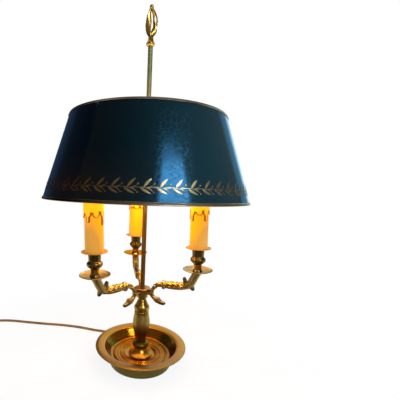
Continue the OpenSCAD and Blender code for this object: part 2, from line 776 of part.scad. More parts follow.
// A tube with a skirt of run wax and drips that come down from it
module sleeve(i) {
    top = sleeve_z + sleeve_h;
    drip_s = sleeve_bore_r + drip_r + 0.4;
    color(WAX) on_horn(i) {
        turned([
            [sleeve_bore_r, sleeve_z], [sleeve_r, sleeve_z], [sleeve_r, top - skirt_h],
            [sleeve_r + wax_t, top - skirt_h + 1.2], [sleeve_r + wax_t, top - 1], [sleeve_r + 0.4, top],
            [sleeve_bore_r, top]]);
        for (d = drips[i]) rotate(d[0]) translate([drip_s, 0, 0])
            turned([
                [0, top - d[1]], [drip_r * 0.7, top - d[1] + drip_r * 0.4], [drip_r, top - d[1] + drip_r * 1.4],
                [drip_r, top - skirt_h + 2], [0, top - skirt_h + 2]]);
    }
}

// Lamp holder: a foot on the nipple, a stem and the socket for the bulb's cap
module holder(i) {
    foot_z = sleeve_z;
    rim_z = socket_z + socket_depth;
    color(DARK) on_horn(i) difference() {
        turned([
            [0, foot_z], [holder_foot_r + 2, foot_z], [holder_foot_r, foot_z + 2],
            [holder_foot_r, socket_z - 6], [holder_r, socket_z - 2], [holder_r, rim_z],
            [0, rim_z]]);
        bar(candle_nipple_r + fix_gap, foot_z - 1, nipple_top_z + 0.2);
        bar(bulb_cap_r + fix_gap, socket_z, rim_z + 1);
        bar(2, foot_z, rim_z);
    }
}

module bulb_caps() {
    color(STEEL) for (i = [0:2]) on_horn(i)
        turned([
            [0, socket_z], [3, socket_z], [bulb_cap_r, socket_z + 5], [bulb_cap_r, bulb_z],
            [0, bulb_z]]);
}

// Shares of the bulb's radius and height along its outline
bulb_outline = [[0.4, 0], [0.42, 0.04], [0.62, 0.12], [0.86, 0.22], [0.98, 0.32], [1, 0.4],
                [0.96, 0.5], [0.84, 0.62], [0.65, 0.74], [0.44, 0.84], [0.24, 0.92], [0.12, 0.97]];

module bulb(i) {
    outside = [for (p = bulb_outline) [p[0] * bulb_r, bulb_z + p[1] * bulb_h]];
    inside = [for (p = bulb_outline) [p[0] * bulb_r - glass_wall,
        bulb_z + (p[0] < 0.2 ? 0.95 : p[1]) * (bulb_h - glass_wall)]];
    color(GLASS) on_horn(i) difference() {
        turned(concat([[0, bulb_z]], outside, [[0, bulb_z + bulb_h]]));
        turned(concat([[0, bulb_z - eps], [bulb_r * 0.4 - glass_wall, bulb_z - eps]], inside,
            [[0, bulb_z + (bulb_h - glass_wall) * 0.97]]));
    }
}

// ---- Slide ----

// Sleeve that slides on the rod, with a flange and a spigot for the spider
module slide_collar() {
    z = spider_z - spider_lift;
    spigot_top = spider_z + spoke_t + 0.3 + ring_nut_h;
    color(BRASS) difference() {
        union() {
            turned([
                [0, z - slide_h], [slide_r - 1, z - slide_h], [slide_r, z - slide_h + 1],
                [slide_r, z - 4], [spider_hub_r - 1.6, z - 2], [spider_hub_r - 0.6, z - 1.4],
                [spider_hub_r - 0.6, z], [0, z]]);
            bar(spigot_r, z, spigot_top);
        }
        bar(rod_r + run_gap, 0, spigot_top + 1);
        rotate(lock_deg) translate([0, 0, lock_z])
            spoke_bar(lock_screw_r + run_gap, 0, slide_r + 2);
    }
}

module ring_nut() {
    z = spider_z + spoke_t + 0.3;
    color(BRASS) difference() {
        turned([
            [0, z], [ring_nut_r - 0.6, z], [ring_nut_r, z + 0.6], [ring_nut_r, z + ring_nut_h - 0.6],
            [ring_nut_r - 0.6, z + ring_nut_h], [0, z + ring_nut_h]]);
        bar(spigot_r + 0.02, z - 1, z + ring_nut_h + 1);
    }
}

lock_z = spider_z - slide_h * 0.58;

// Locking screw with a flat key to turn it by
module lock_screw() {
    neck_out = slide_r + 9;
    color(BRASS) rotate(lock_deg) translate([0, 0, lock_z]) union() {
        spoke_bar(lock_screw_r, rod_r + 0.4, neck_out);
        spoke_bar(lock_screw_r + 1.6, slide_r + 0.5, slide_r + 4);
        difference() {
            translate([neck_out + lock_key_w * 0.3, 0, 0]) rotate([90, 0, 0]) translate([0, 0, -1.2])
                linear_extrude(2.4) for (side = [-1, 1])
                    translate([0, side * lock_key_w * 0.26]) circle(lock_key_w * 0.26);
            for (side = [-1, 1]) translate([neck_out + lock_key_w * 0.3, 0, side * lock_key_w * 0.26])
                rotate([90, 0, 0]) cylinder(r = lock_key_w * 0.12, h = 4, center = true);
        }
        spoke_bar(lock_screw_r, neck_out - 1, neck_out + lock_key_w * 0.3);
    }
}

// ---- Shade ----

// A ring that follows the shade's slope between two heights and two depths
module shade_ring(h0, h1, out0, out1) {
    translate([0, 0, shade_z]) turned([
        [shade_face_r(h0) + out0, h0], [shade_face_r(h0) + out1, h0],
        [shade_face_r(h1) + out1, h1], [shade_face_r(h1) + out0, h1]]);
}

module rivet_places() {
    for (k = [0:2]) rotate(spoke_first_deg + 120 * k)
        translate([shade_face_r(rivet_h), 0, shade_z + rivet_h]) rotate([0, -shade_lean, 0])
            children();
}

module shade_cone() {
    color(PAINT) difference() {
        shade_ring(0.6, shade_h - 0.6, -shade_t, 0);
        rivet_places() spoke_bar(rivet_r + 0.05, -4, 3);
    }
}

// Folded band over the bottom edge, with a bead along its upper side
module shade_bottom_rim() {
    h = bottom_rim_h;
    b = rim_bead_r;
    e = shade_face_r(h) + rim_t;
    color(BRASS) translate([0, 0, shade_z]) turned([
        [shade_face_r(0) - shade_t, 0], [shade_face_r(0) + rim_t, 0], [e, h - b],
        [e + b * 0.9, h - b * 0.4], [e + b * 0.9, h + b * 0.4], [e, h + b],
        [shade_face_r(h + b), h + b], [shade_face_r(0.6), 0.6], [shade_face_r(0.6) - shade_t, 0.6]]);
}

// Folded band over the top edge, with a bead along its lower side
module shade_top_rim() {
    h = shade_h - top_rim_h;
    b = rim_bead_r;
    e = shade_face_r(h) + rim_t;
    edge_h = shade_h - 0.6;
    color(BRASS) translate([0, 0, shade_z]) turned([
        [shade_face_r(edge_h) - shade_t, edge_h], [shade_face_r(edge_h), edge_h],
        [shade_face_r(h - b), h - b], [e, h - b], [e + b * 0.9, h - b * 0.4],
        [e + b * 0.9, h + b * 0.4], [e, h + b], [shade_face_r(shade_h) + rim_t, shade_h],
        [shade_face_r(shade_h) - shade_t, shade_h]]);
}

// Flat ring that the shade turns on
module spider_hub() {
    color(BRASS) difference() {
        bar(spider_hub_r, spider_z, spider_z + spoke_t);
        bar(spigot_r + run_gap, 0, spider_z + 10);
    }
}

// Three spokes, brazed to the hub ring, whose ends turn up along the shade's wall
module shade_spider() {
    face_in = -shade_t;
    tab_foot_r = shade_face_r(spider_h) + face_in;
    tab_top_r = shade_face_r(tab_top_h) + face_in;
    color(BRASS) difference() {
        for (k = [0:2]) rotate(spoke_first_deg + 120 * k) intersection() {
            translate([0, spoke_w / 2, 0]) rotate([90, 0, 0]) linear_extrude(spoke_w)
                polygon([
                    [spigot_r + 2, spider_z], [shade_bottom_r, spider_z],
                    [shade_bottom_r, shade_z + tab_top_h], [tab_top_r - spoke_t, shade_z + tab_top_h],
                    [tab_foot_r - spoke_t - 0.4, spider_z + spoke_t], [spigot_r + 2, spider_z + spoke_t]]);
            translate([0, 0, shade_z])
                turned([[0, spider_h], [tab_foot_r, spider_h], [tab_top_r, tab_top_h], [0, tab_top_h]]);
        }
        bar(spider_hub_r, spider_z - 1, spider_z + 10);
        rivet_places() spoke_bar(rivet_r + 0.05, -6, 3);
    }
}

// Rivets with round heads outside and flat heads inside
module shade_rivets() {
    inside = -shade_t - spoke_t;
    color(PAINT) rivet_places() {
        spoke_bar(rivet_r, inside, rivet_r * 0.5);
        rotate([0, 90, 0]) difference() {
            sphere(rivet_r * 1.7);
            translate([0, 0, -rivet_r * 4 + 0.12]) cube(rivet_r * 8, center = true);
        }
    }
}

// ---- Cord, switch and plug ----

// The switch's cases are built about their own centre, with the cord along Y
module switch_shell(h, floor_side) {
    difference() {
        linear_extrude(h) round_rect(switch_w, switch_l, 6);
        translate([0, 0, floor_side > 0 ? -eps : switch_wall])
            linear_extrude(h - switch_wall + eps)
                round_rect(switch_w - 2 * switch_wall, switch_l - 2 * switch_wall, 6 - switch_wall);
    }
}

module cord_bore(z) {
    translate([0, 0, z]) rotate([90, 0, 0])
        cylinder(r = cord_r + fix_gap, h = switch_l + 2, center = true);
}

module switch_lower() {
    color(DARK) translate([switch_at[0], switch_at[1], 0]) difference() {
        switch_shell(switch_low_h, -1);
        cord_bore(switch_low_h);
    }
}

rocker_slot_w = rocker_w + 0.8;
rocker_slot_r = rocker_r + 0.4;
rocker_z = switch_low_h + 4;
axle_r = 1.4;
cheek_t = 2;

// Upper case with the rocker's slot and two cheeks that hold its axle
module switch_upper() {
    color(DARK) translate([switch_at[0], switch_at[1], 0]) difference() {
        union() {
            translate([0, 0, switch_low_h]) switch_shell(switch_up_h, 1);
            for (side = [-1, 1])
                translate([side * (rocker_slot_w + cheek_t) / 2, 0, switch_low_h + switch_up_h / 2])
                    cube([cheek_t, 2 * rocker_slot_r, switch_up_h], center = true);
        }
        translate([0, 0, switch_low_h + switch_up_h / 2])
            cube([rocker_slot_w, 2 * rocker_slot_r, switch_up_h + 1], center = true);
        translate([0, 0, rocker_z]) rotate([0, 90, 0])
            cylinder(r = axle_r + run_gap, h = rocker_slot_w + 2 * cheek_t - 1, center = true);
        cord_bore(switch_low_h);
    }
}

// A rocker that stands tilted at rest, as when the lamp is on
module switch_rocker() {
    top = switch_low_h + switch_up_h - rocker_z;
    rise = rocker_r * tan(rocker_tilt);
    color([0.8, 0.7, 0.45]) translate([switch_at[0], switch_at[1], rocker_z])
        rotate([rocker_tilt, 0, 0]) union() {
            rotate([90, 0, 90]) translate([0, 0, -rocker_w / 2]) linear_extrude(rocker_w)
                intersection() {
                    circle(rocker_r);
                    polygon([[-rocker_r - 1, -2], [rocker_r + 1, -2], [rocker_r + 1, top],
                             [0, top + rise], [-rocker_r - 1, top]]);
                }
            rotate([0, 90, 0])
                cylinder(r = axle_r, h = rocker_slot_w + 2 * cheek_t - 1.4, center = true);
        }
}

// Plug lying on the table, its pins along -Y
module plug_body() {
    mid = plug_t / 2;
    color(DARK) translate([plug_at[0], plug_at[1], 0]) difference() {
        union() {
            translate([0, -plug_l / 2 - plug_neck_l, 0]) linear_extrude(plug_t) difference() {
                round_rect(plug_w, plug_l, 5);
                for (side = [-1, 1]) translate([side * plug_w * 0.62, plug_l * 0.42]) circle(plug_w * 0.3);
            }
            translate([0, 0.5, mid]) rotate([90, 0, 0])
                cylinder(r1 = cord_r + 0.8, r2 = mid - 1.4, h = plug_neck_l + 4);
        }
        translate([0, 2, mid]) rotate([90, 0, 0]) cylinder(r = cord_r + fix_gap, h = plug_neck_l);
        for (side = [-1, 1]) translate([side * pin_gap / 2, -plug_neck_l - plug_l + 12.2, mid])
            rotate([90, 0, 0]) cylinder(r = pin_hold_r + fix_gap / 2, h = 20);
    }
}

pin_hold_r = pin_r * 0.6;

// Each pin is thinner where the body holds it
module plug_pins() {
    held_l = 12;
    face_y = -plug_neck_l - plug_l;
    color(BRASS) translate([plug_at[0], plug_at[1], plug_t / 2])
        for (side = [-1, 1]) translate([side * pin_gap / 2, face_y, 0]) rotate([90, 0, 0])
            turned([
                [0, -held_l], [pin_hold_r, -held_l], [pin_hold_r, 0], [pin_r, 0],
                [pin_r, pin_l - 1], [pin_r * 0.55, pin_l], [0, pin_l]]);
}

module cord_lead() {
    switch_end = switch_at[1] + switch_l / 2;
    route = concat(
        [for (s = [lead_inner_s, dish_base_r + relief_len / 2, lead_outer_s])
            [s * exit_dir[0], s * exit_dir[1], cord_exit_z]],
        lead_route, [[switch_at[0], switch_end, switch_low_h], [switch_at[0], switch_end - 5, switch_low_h]]);
    color(CORD_GOLD) tube(route, cord_r, 8, 2);
}

module cord_link() {
    switch_end = switch_at[1] - switch_l / 2;
    route = concat([[switch_at[0], switch_end + 5, switch_low_h], [switch_at[0], switch_end, switch_low_h]],
        link_route);
    color(CORD_GOLD) tube(route, cord_r, 8, 2);
}

module cord_tail() {
    neck = plug_at[1];
    route = concat(tail_route, [[plug_at[0], neck, plug_t / 2], [plug_at[0], neck - 8, plug_t / 2]]);
    color(CORD_GOLD) tube(route, cord_r, 8, 2);
}

module cord_coil() {
    color(CORD_GOLD) translate([coil_at[0], coil_at[1], tie_t])
        turned([[coil_in_r, 0], [coil_out_r, 0], [coil_out_r, coil_h], [coil_in_r, coil_h]]);
}

module cord_tie() {
    gap = 0.05;
    color(DARK) translate([coil_at[0], coil_at[1], 0]) rotate(tie_at_deg)
        rotate_extrude(angle = tie_deg) difference() {
            translate([coil_in_r - gap - tie_t, 0])
                square([coil_out_r - coil_in_r + 2 * (tie_t + gap), coil_h + 2 * tie_t + gap]);
            translate([coil_in_r - gap, tie_t])
                square([coil_out_r - coil_in_r + 2 * gap, coil_h + gap]);
        }
}

felt_pad();
base_cover();
ballast_disc();
base_locknut();
base_washer();
dish();
threaded_tube();
cord_bushing();
column_foot();
column_baluster();
column_ring();
column_bead();
column_cone();
arm_hub();
hub_cap();
rod();
finial();
arm_nipples();
arm(0);  // arm_right
arm(1);  // arm_back
arm(2);  // arm_left
candle_nipples();
saucer(0);  // saucer_right
saucer(1);  // saucer_back
saucer(2);  // saucer_left
cup(0);  // cup_right
cup(1);  // cup_back
cup(2);  // cup_left
pan(0);  // pan_right
pan(1);  // pan_back
pan(2);  // pan_left
sleeve(0);  // sleeve_right
sleeve(1);  // sleeve_back
sleeve(2);  // sleeve_left
holder(0);  // holder_right
holder(1);  // holder_back
holder(2);  // holder_left
bulb(0);  // bulb_right
bulb(1);  // bulb_back
bulb(2);  // bulb_left
bulb_caps();
slide_collar();
ring_nut();
lock_screw();
shade_cone();
shade_bottom_rim();
shade_top_rim();
spider_hub();
shade_spider();
shade_rivets();
switch_lower();
switch_upper();
switch_rocker();
plug_body();
plug_pins();
cord_lead();
cord_link();
cord_tail();
cord_coil();
cord_tie();
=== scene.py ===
"""Looks of a bouillotte lamp: cast and turned brass, a painted metal shade with a
gilt laurel band, wax sleeves and a gold cord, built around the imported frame.

Sizes are in millimetres and become metres where a mesh or a material is made.
"""

import logging
import math
from dataclasses import dataclass
from enum import Enum
from typing import Callable

import bmesh
import bpy
from mathutils import Matrix, Vector


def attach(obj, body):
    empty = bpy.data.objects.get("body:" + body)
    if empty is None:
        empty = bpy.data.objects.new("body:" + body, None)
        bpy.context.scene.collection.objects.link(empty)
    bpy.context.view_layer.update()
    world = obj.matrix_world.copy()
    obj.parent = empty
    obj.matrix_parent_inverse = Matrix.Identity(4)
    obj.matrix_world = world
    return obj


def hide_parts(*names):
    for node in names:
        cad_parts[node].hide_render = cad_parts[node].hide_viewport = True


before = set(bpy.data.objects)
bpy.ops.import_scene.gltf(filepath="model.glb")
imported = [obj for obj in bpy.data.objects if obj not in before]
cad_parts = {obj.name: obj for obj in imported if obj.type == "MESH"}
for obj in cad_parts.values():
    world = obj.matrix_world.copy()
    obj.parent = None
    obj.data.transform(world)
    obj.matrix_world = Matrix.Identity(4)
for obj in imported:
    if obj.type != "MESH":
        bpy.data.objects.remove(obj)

LOG = logging.getLogger("lamp")
MM = 0.001
SAME_POINT = 1e-6
SIDEWAYS = Vector((0, 1, 0))

Point = tuple[float, ...]
Points = tuple[Point, ...]
Route = list[Point]
Colour = tuple[float, float, float, float]


class Body(Enum):
    """The bodies that new pieces ride on."""

    STAND = "stand"
    SHADE = "shade"


# ---- Curves and surfaces ----


def spline(points: Route | Points, steps: int) -> Route:
    """Draws a smooth curve through points of any number of coordinates.

    Args:
        points: The points that the curve goes through.
        steps: The number of steps between two points.

    Returns:
        The points of the curve, both ends included.
    """
    last = len(points) - 1
    drawn = []
    for i in range(last):
        p0, p1 = points[max(i - 1, 0)], points[i]
        p2, p3 = points[i + 1], points[min(i + 2, last)]
        for k in range(steps):
            t = k / steps
            drawn.append(tuple(
                0.5 * (2 * b + (c - a) * t + (2 * a - 5 * b + 4 * c - d) * t * t
                       + (3 * b - a - 3 * c + d) * t * t * t)
                for a, b, c, d in zip(p0, p1, p2, p3)))
    drawn.append(tuple(points[last]))
    return drawn


def outline(*runs: Route, steps: int = 5) -> Route:
    """Joins smooth runs of a turned profile, with a corner where two runs meet.

    Args:
        runs: Lists of (radius, height).
        steps: The number of steps between two points of a run.

    Returns:
        The whole profile as one list.
    """
    drawn: Route = []
    for run in runs:
        drawn.extend(spline(run, steps) if len(run) > 2 else run)
    return [p for i, p in enumerate(drawn) if i == 0 or math.dist(p, drawn[i - 1]) > SAME_POINT]


def ease(low: float, high: float, value: float) -> float:
    """Returns 0 below low, 1 above high, and a smooth step between."""
    t = min(1.0, max(0.0, (value - low) / (high - low)))
    return t * t * (3 - 2 * t)


def oval(rx: float, ry: float, z: float, sides: int, centre: Point = (0.0, 0.0)) -> Route:
    """Returns the points of a level oval or circle."""
    turns = [math.tau * k / sides for k in range(sides)]
    return [(centre[0] + rx * math.cos(a), centre[1] + ry * math.sin(a), z) for a in turns]


def placed(name: str, data: bpy.types.ID, where: Matrix | None = None) -> bpy.types.Object:
    """Links a new object to the scene.

    Args:
        name: Its name.
        data: Its mesh, curve, light or camera.
        where: Its place in the lamp, in metres.

    Returns:
        The object.
    """
    obj = bpy.data.objects.new(name, data)
    bpy.context.scene.collection.objects.link(obj)
    if where is not None:
        obj.matrix_world = where
    return obj


class Surface:
    """Points and faces of one piece, in millimetres, while it is being made."""

    def __init__(self) -> None:
        """Starts with nothing."""
        self.points: Route = []
        self.faces: list[tuple[int, ...]] = []
        self.kinds: list[int] = []
        self.shares: list[float] = []

    def ring(self, points: Route, shares: list[float] | None = None) -> list[int]:
        """Adds points and returns their numbers.

        Args:
            points: The points to add.
            shares: A value to keep with each of them, 0 where left out.

        Returns:
            The numbers of the points.
        """
        start = len(self.points)
        self.points.extend(points)
        self.shares.extend(shares or [0.0] * len(points))
        return list(range(start, start + len(points)))

    def face(self, corners: tuple[int, ...], kind: int = 0) -> None:
        """Adds one face with the finish number kind."""
        self.faces.append(corners)
        self.kinds.append(kind)

    def bridge(self, rings: list[list[int]], closed: bool = True) -> None:
        """Fills the strips between rings of equal size.

        Args:
            rings: The rings in order, as the numbers of their points.
            closed: Whether each ring joins up with itself.
        """
        for a, b in zip(rings, rings[1:]):
            for k in range(len(a) if closed else len(a) - 1):
                m = (k + 1) % len(a)
                self.face((a[k], a[m], b[m], b[k]))

    def lathe(self, profile: Route, sides: int, kind: int = 0,
              closed: bool = False) -> "Surface":
        """Turns a profile of (radius, height) about the Z axis.

        Args:
            profile: The profile, from one end to the other.
            sides: The number of steps round the axis.
            kind: The finish number of the faces.
            closed: Whether the last point joins the first.

        Returns:
            The surface itself.
        """
        on_axis = 0.01
        rings = [self.ring([(0.0, 0.0, z)]) * sides if r < on_axis
                 else self.ring(oval(r, r, z, sides)) for r, z in profile]
        for a, b in zip(rings, rings[1:] + (rings[:1] if closed else [])):
            for k in range(sides):
                m = (k + 1) % sides
                corners = tuple(dict.fromkeys((a[k], a[m], b[m], b[k])))
                if len(corners) > 2:
                    self.face(corners, kind)
        return self

    def sweep(self, path: Route, sides: int,
              shape: Callable[[float, float, Point], Point] | None = None) -> None:
        """Sweeps an oval along a path with closed ends.

        Args:
            path: Points of (x, y, z, half thickness, half width, twist in degrees).
            sides: The number of points in each ring.
            shape: Gives (thickness, width) at a share of the path, an angle and its point.
        """
        last = len(path) - 1
        rings = []
        for i, p in enumerate(path):
            ahead = Vector(path[min(i + 1, last)][:3]) - Vector(path[max(i - 1, 0)][:3])
            along = ahead.normalized()
            side = (SIDEWAYS - along * SIDEWAYS.dot(along)).normalized()
            rise = along.cross(side)
            turn = math.radians(p[5]) if len(p) > 5 else 0.0
            wide = side * math.cos(turn) + rise * math.sin(turn)
            high = rise * math.cos(turn) - side * math.sin(turn)
            points = []
            for k in range(sides):
                angle = math.tau * k / sides
                a, b = (p[3], p[4]) if shape is None else shape(i / last, angle, p)
                points.append(tuple(Vector(p[:3]) + high * (a * math.cos(angle))
                                    + wide * (b * math.sin(angle))))
            rings.append(self.ring(points))
        self.bridge(rings)
        self.face(tuple(rings[0]))
        self.face(tuple(reversed(rings[-1])))

    def ball(self, centre: Point, radii: Point, sides: int = 12) -> None:
        """Adds an egg-shaped ball.

        Args:
            centre: Its middle.
            radii: Its radii along X, Y and Z.
            sides: The number of points in each ring.
        """
        rows = sides // 2
        pole = 0.02
        rings = []
        for i in range(rows + 1):
            lift = math.pi * i / rows - math.pi / 2
            r = max(pole, math.cos(lift))
            rings.append(self.ring(oval(radii[0] * r, radii[1] * r,
                                        centre[2] + radii[2] * math.sin(lift), sides, centre)))
        self.bridge(rings)
        self.face(tuple(reversed(rings[0])))
        self.face(tuple(rings[-1]))

    def made(self, name: str, where: Matrix | None = None,
             crease: float = 38.0) -> bpy.types.Object:
        """Makes the Blender object.

        Args:
            name: The piece's name.
            where: Its place in the lamp, in metres.
            crease: Edges that bend by more than this many degrees stay sharp.

        Returns:
            The new object, linked to the scene.
        """
        mesh = bpy.data.meshes.new(name)
        mesh.from_pydata([tuple(c * MM for c in p) for p in self.points], [], self.faces)
        mesh.polygons.foreach_set("material_index", self.kinds)
        if any(self.shares):
            shares = mesh.attributes.new("share", "FLOAT", "POINT")
            shares.data.foreach_set("value", self.shares)
        finish_mesh(mesh, crease)
        return placed(name, mesh, where)


def finish_mesh(mesh: bpy.types.Mesh, crease: float) -> None:
    """Turns the faces outwards and shades them smooth.

    Args:
        mesh: The mesh to change.
        crease: Edges that bend by more than this many degrees stay sharp.
    """
    work = bmesh.new()
    work.from_mesh(mesh)
    bmesh.ops.recalc_face_normals(work, faces=work.faces)
    limit = math.radians(crease)
    for face in work.faces:
        face.smooth = True
    for edge in work.edges:
        if len(edge.link_faces) == 2 and edge.calc_face_angle(0) > limit:
            edge.smooth = False
    work.to_mesh(mesh)
    work.free()
    mesh.update()


def fuse(obj: bpy.types.Object, voxel: float) -> None:
    """Melts the overlapping parts of a casting into one skin.

    Args:
        obj: The casting, whose mesh is replaced.
        voxel: The size of the skin's faces, in millimetres.
    """
    melt = obj.modifiers.new("melt", "REMESH")
    melt.mode = "VOXEL"
    melt.voxel_size = voxel * MM
    soften = obj.modifiers.new("soften", "SMOOTH")
    soften.factor = 0.5
    soften.iterations = 2
    bpy.context.view_layer.update()
    shown = obj.evaluated_get(bpy.context.evaluated_depsgraph_get())
    mesh = bpy.data.meshes.new_from_object(shown)
    obj.modifiers.clear()
    obj.data = mesh
    finish_mesh(mesh, 80.0)


# ---- Shader nodes ----


class Tree:
    """Adds and links the nodes of one node tree."""

    def __init__(self, tree: bpy.types.NodeTree) -> None:
        """Works on an existing node tree."""
        self.tree = tree

    def find(self, kind: str) -> bpy.types.Node:
        """Returns the tree's first node of a type."""
        return next(n for n in self.tree.nodes if n.type == kind)

    def feed(self, socket: bpy.types.NodeSocket, value: object) -> None:
        """Links a socket to another one, or sets its value.

        Args:
            socket: The input.
            value: A socket or a plain value.
        """
        if isinstance(value, bpy.types.NodeSocket):
            self.tree.links.new(value, socket)
        else:
            socket.default_value = value

    def put(self, kind: str, props: dict | None = None, **inputs: object) -> bpy.types.Node:
        """Adds a node.

        Args:
            kind: Its type, without the ShaderNode prefix.
            props: Its own settings.
            inputs: Values or sockets by the input's name, with _ for a space.

        Returns:
            The node.
        """
        node = self.tree.nodes.new("ShaderNode" + kind)
        for key, value in (props or {}).items():
            setattr(node, key, value)
        for key, value in inputs.items():
            self.feed(node.inputs[key.replace("_", " ")], value)
        return node

    def wire(self, node: bpy.types.Node, values: dict[int, object],
             result: int = 0) -> bpy.types.NodeSocket:
        """Feeds a node's inputs by their numbers.

        Args:
            node: The node.
            values: Values or sockets by the input's number.
            result: The number of the output to return.

        Returns:
            That output.
        """
        for index, value in values.items():
            self.feed(node.inputs[index], value)
        return node.outputs[result]

    def math(self, operation: str, *values: object, clamp: bool = False) -> bpy.types.NodeSocket:
        """Adds a Math node and returns its result."""
        node = self.put("Math", {"operation": operation, "use_clamp": clamp})
        return self.wire(node, dict(enumerate(values)))

    def plus(self, a: object, b: object) -> bpy.types.NodeSocket:
        """Returns a + b."""
        return self.math("ADD", a, b)

    def minus(self, a: object, b: object) -> bpy.types.NodeSocket:
        """Returns a - b."""
        return self.math("SUBTRACT", a, b)

    def times(self, a: object, b: object) -> bpy.types.NodeSocket:
        """Returns a * b."""
        return self.math("MULTIPLY", a, b)

    def spread(self, value: object, low: object, high: object, to_low: float = 0.0,
               to_high: float = 1.0) -> bpy.types.NodeSocket:
        """Maps the range from low to high smoothly to the one from to_low to to_high."""
        return self.put("MapRange", {"interpolation_type": "SMOOTHSTEP"}, Value=value, From_Min=low,
                        From_Max=high, To_Min=to_low, To_Max=to_high).outputs[0]

    def fade(self, along: object, ends: Point, to: Point = (0.0, 1.0)) -> bpy.types.NodeSocket:
        """Maps the stretch between two ends in millimetres smoothly to two values."""
        return self.spread(along, ends[0] * MM, ends[1] * MM, *to)

    def mixed(self, share: object, a: object, b: object) -> bpy.types.NodeSocket:
        """Mixes a share of the colour b into the colour a."""
        return self.wire(self.put("Mix", {"data_type": "RGBA"}), {0: share, 6: a, 7: b}, 2)

    def noise(self, vector: object, scale: object, detail: float,
              rough: float = 0.55) -> bpy.types.NodeSocket:
        """Returns a noise over a vector."""
        return self.put("TexNoise", Vector=vector, Scale=scale, Detail=detail,
                        Roughness=rough).outputs[0]

    def axes(self, vector: object) -> tuple[bpy.types.NodeSocket, ...]:
        """Splits a vector into its three numbers."""
        return tuple(self.put("SeparateXYZ", Vector=vector).outputs)

    def radius(self, vector: object) -> bpy.types.NodeSocket:
        """Returns the distance of a place from the Z axis."""
        x, y, _ = self.axes(vector)
        return self.math("SQRT", self.plus(self.times(x, x), self.times(y, y)))


class Effect:
    """A shader node group that several finishes place with their own values."""

    def __init__(self, name: str, inputs: dict[str, object], *outputs: str) -> None:
        """Makes the group's sockets, of which Vector is always the first.

        Args:
            name: The group's name.
            inputs: The first value of each other input, by its name.
            outputs: The names of the outputs.
        """
        self.group = bpy.data.node_groups.new(name, "ShaderNodeTree")
        self.socket("Vector", "INPUT", "Vector")
        for title, value in inputs.items():
            kind = "Float" if isinstance(value, float) else "Color"
            self.socket(title, "INPUT", kind).default_value = value
        for title in outputs:
            self.socket(title, "OUTPUT", "Color" if title == "Color" else "Float")
        self.tree = Tree(self.group)
        self.given = self.group.nodes.new("NodeGroupInput").outputs
        self.wanted = self.group.nodes.new("NodeGroupOutput").inputs

    def socket(self, name: str, way: str, kind: str) -> bpy.types.NodeTreeInterfaceSocket:
        """Adds a named input or output."""
        return self.group.interface.new_socket(name=name, in_out=way,
                                               socket_type="NodeSocket" + kind)

    def place(self, tree: Tree, **inputs: object) -> bpy.types.bpy_prop_collection:
        """Places the group in a tree and returns its outputs."""
        return tree.put("Group", {"node_tree": self.group}, **inputs).outputs


def tarnish_effect() -> Effect:
    """Lets a dull colour creep over a bright one in soft clouds.

    Returns:
        The effect, with its colour and its mask.
    """
    made = Effect("Tarnish", {"Scale": 40.0, "Amount": 0.5, "Bright": (1, 1, 1, 1),
                              "Dull": (0, 0, 0, 1)}, "Color", "Mask")
    t, given = made.tree, made.given
    cloud = t.noise(given["Vector"], given["Scale"], 5.0, 0.6)
    fine = t.noise(given["Vector"], t.times(given["Scale"], 9.0), 3.0, 0.6)
    both = t.plus(cloud, t.times(t.minus(fine, 0.5), 0.35))
    mask = t.math("MULTIPLY", t.spread(both, 0.36, 0.66), given["Amount"], clamp=True)
    t.feed(made.wanted["Color"], t.mixed(mask, given["Bright"], given["Dull"]))
    t.feed(made.wanted["Mask"], mask)
    return made


def hairline_effect() -> Effect:
    """Makes fine handling marks, drawn out along Z.

    Returns:
        The effect, with its height.
    """
    made = Effect("Hairlines", {"Scale": 900.0}, "Height")
    t, given = made.tree, made.given
    drawn = t.put("Mapping", Vector=given["Vector"], Scale=(1.0, 1.0, 0.18))
    marks = t.noise(drawn.outputs[0], given["Scale"], 3.0, 0.7)
    pits = t.noise(given["Vector"], t.times(given["Scale"], 0.3), 2.0, 0.5)
    t.feed(made.wanted["Height"], t.plus(marks, t.times(pits, 0.6)))
    return made


def spun_effect() -> Effect:
    """Makes the fine rings that a spinning tool leaves.

    Returns:
        The effect, with its height.
    """
    made = Effect("Spun rings", {"Spacing": 0.0012}, "Height")
    t, given = made.tree, made.given
    _, _, z = t.axes(given["Vector"])
    along = t.plus(t.radius(given["Vector"]), t.times(z, 0.6))
    rings = t.math("DIVIDE", along, given["Spacing"])
    wave = t.math("SINE", t.times(rings, math.tau))
    uneven = t.put("TexNoise", {"noise_dimensions": "1D"}, W=rings, Scale=0.9, Detail=3.0)
    t.feed(made.wanted["Height"], t.plus(t.times(wave, 0.25), uneven.outputs[0]))
    return made


def crackle_effect() -> Effect:
    """Makes the thin cracks of old lacquer.

    Returns:
        The effect, with its mask.
    """
    made = Effect("Crackle", {"Scale": 110.0, "Width": 0.03}, "Mask")
    t, given = made.tree, made.given
    bend = t.put("TexNoise", Vector=given["Vector"], Scale=60.0, Detail=3.0).outputs["Color"]
    bent = t.wire(t.put("VectorMath", {"operation": "MULTIPLY_ADD"}),
                  {0: bend, 1: (0.007, 0.007, 0.007), 2: given["Vector"]})
    cells = t.put("TexVoronoi", {"feature": "DISTANCE_TO_EDGE"}, Vector=bent,
                  Scale=given["Scale"])
    t.feed(made.wanted["Mask"],
           t.spread(cells.outputs["Distance"], 0.0, given["Width"], 1.0, 0.0))
    return made


TARNISH = tarnish_effect()
HAIRLINES = hairline_effect()
SPUN = spun_effect()
CRACKLE = crackle_effect()


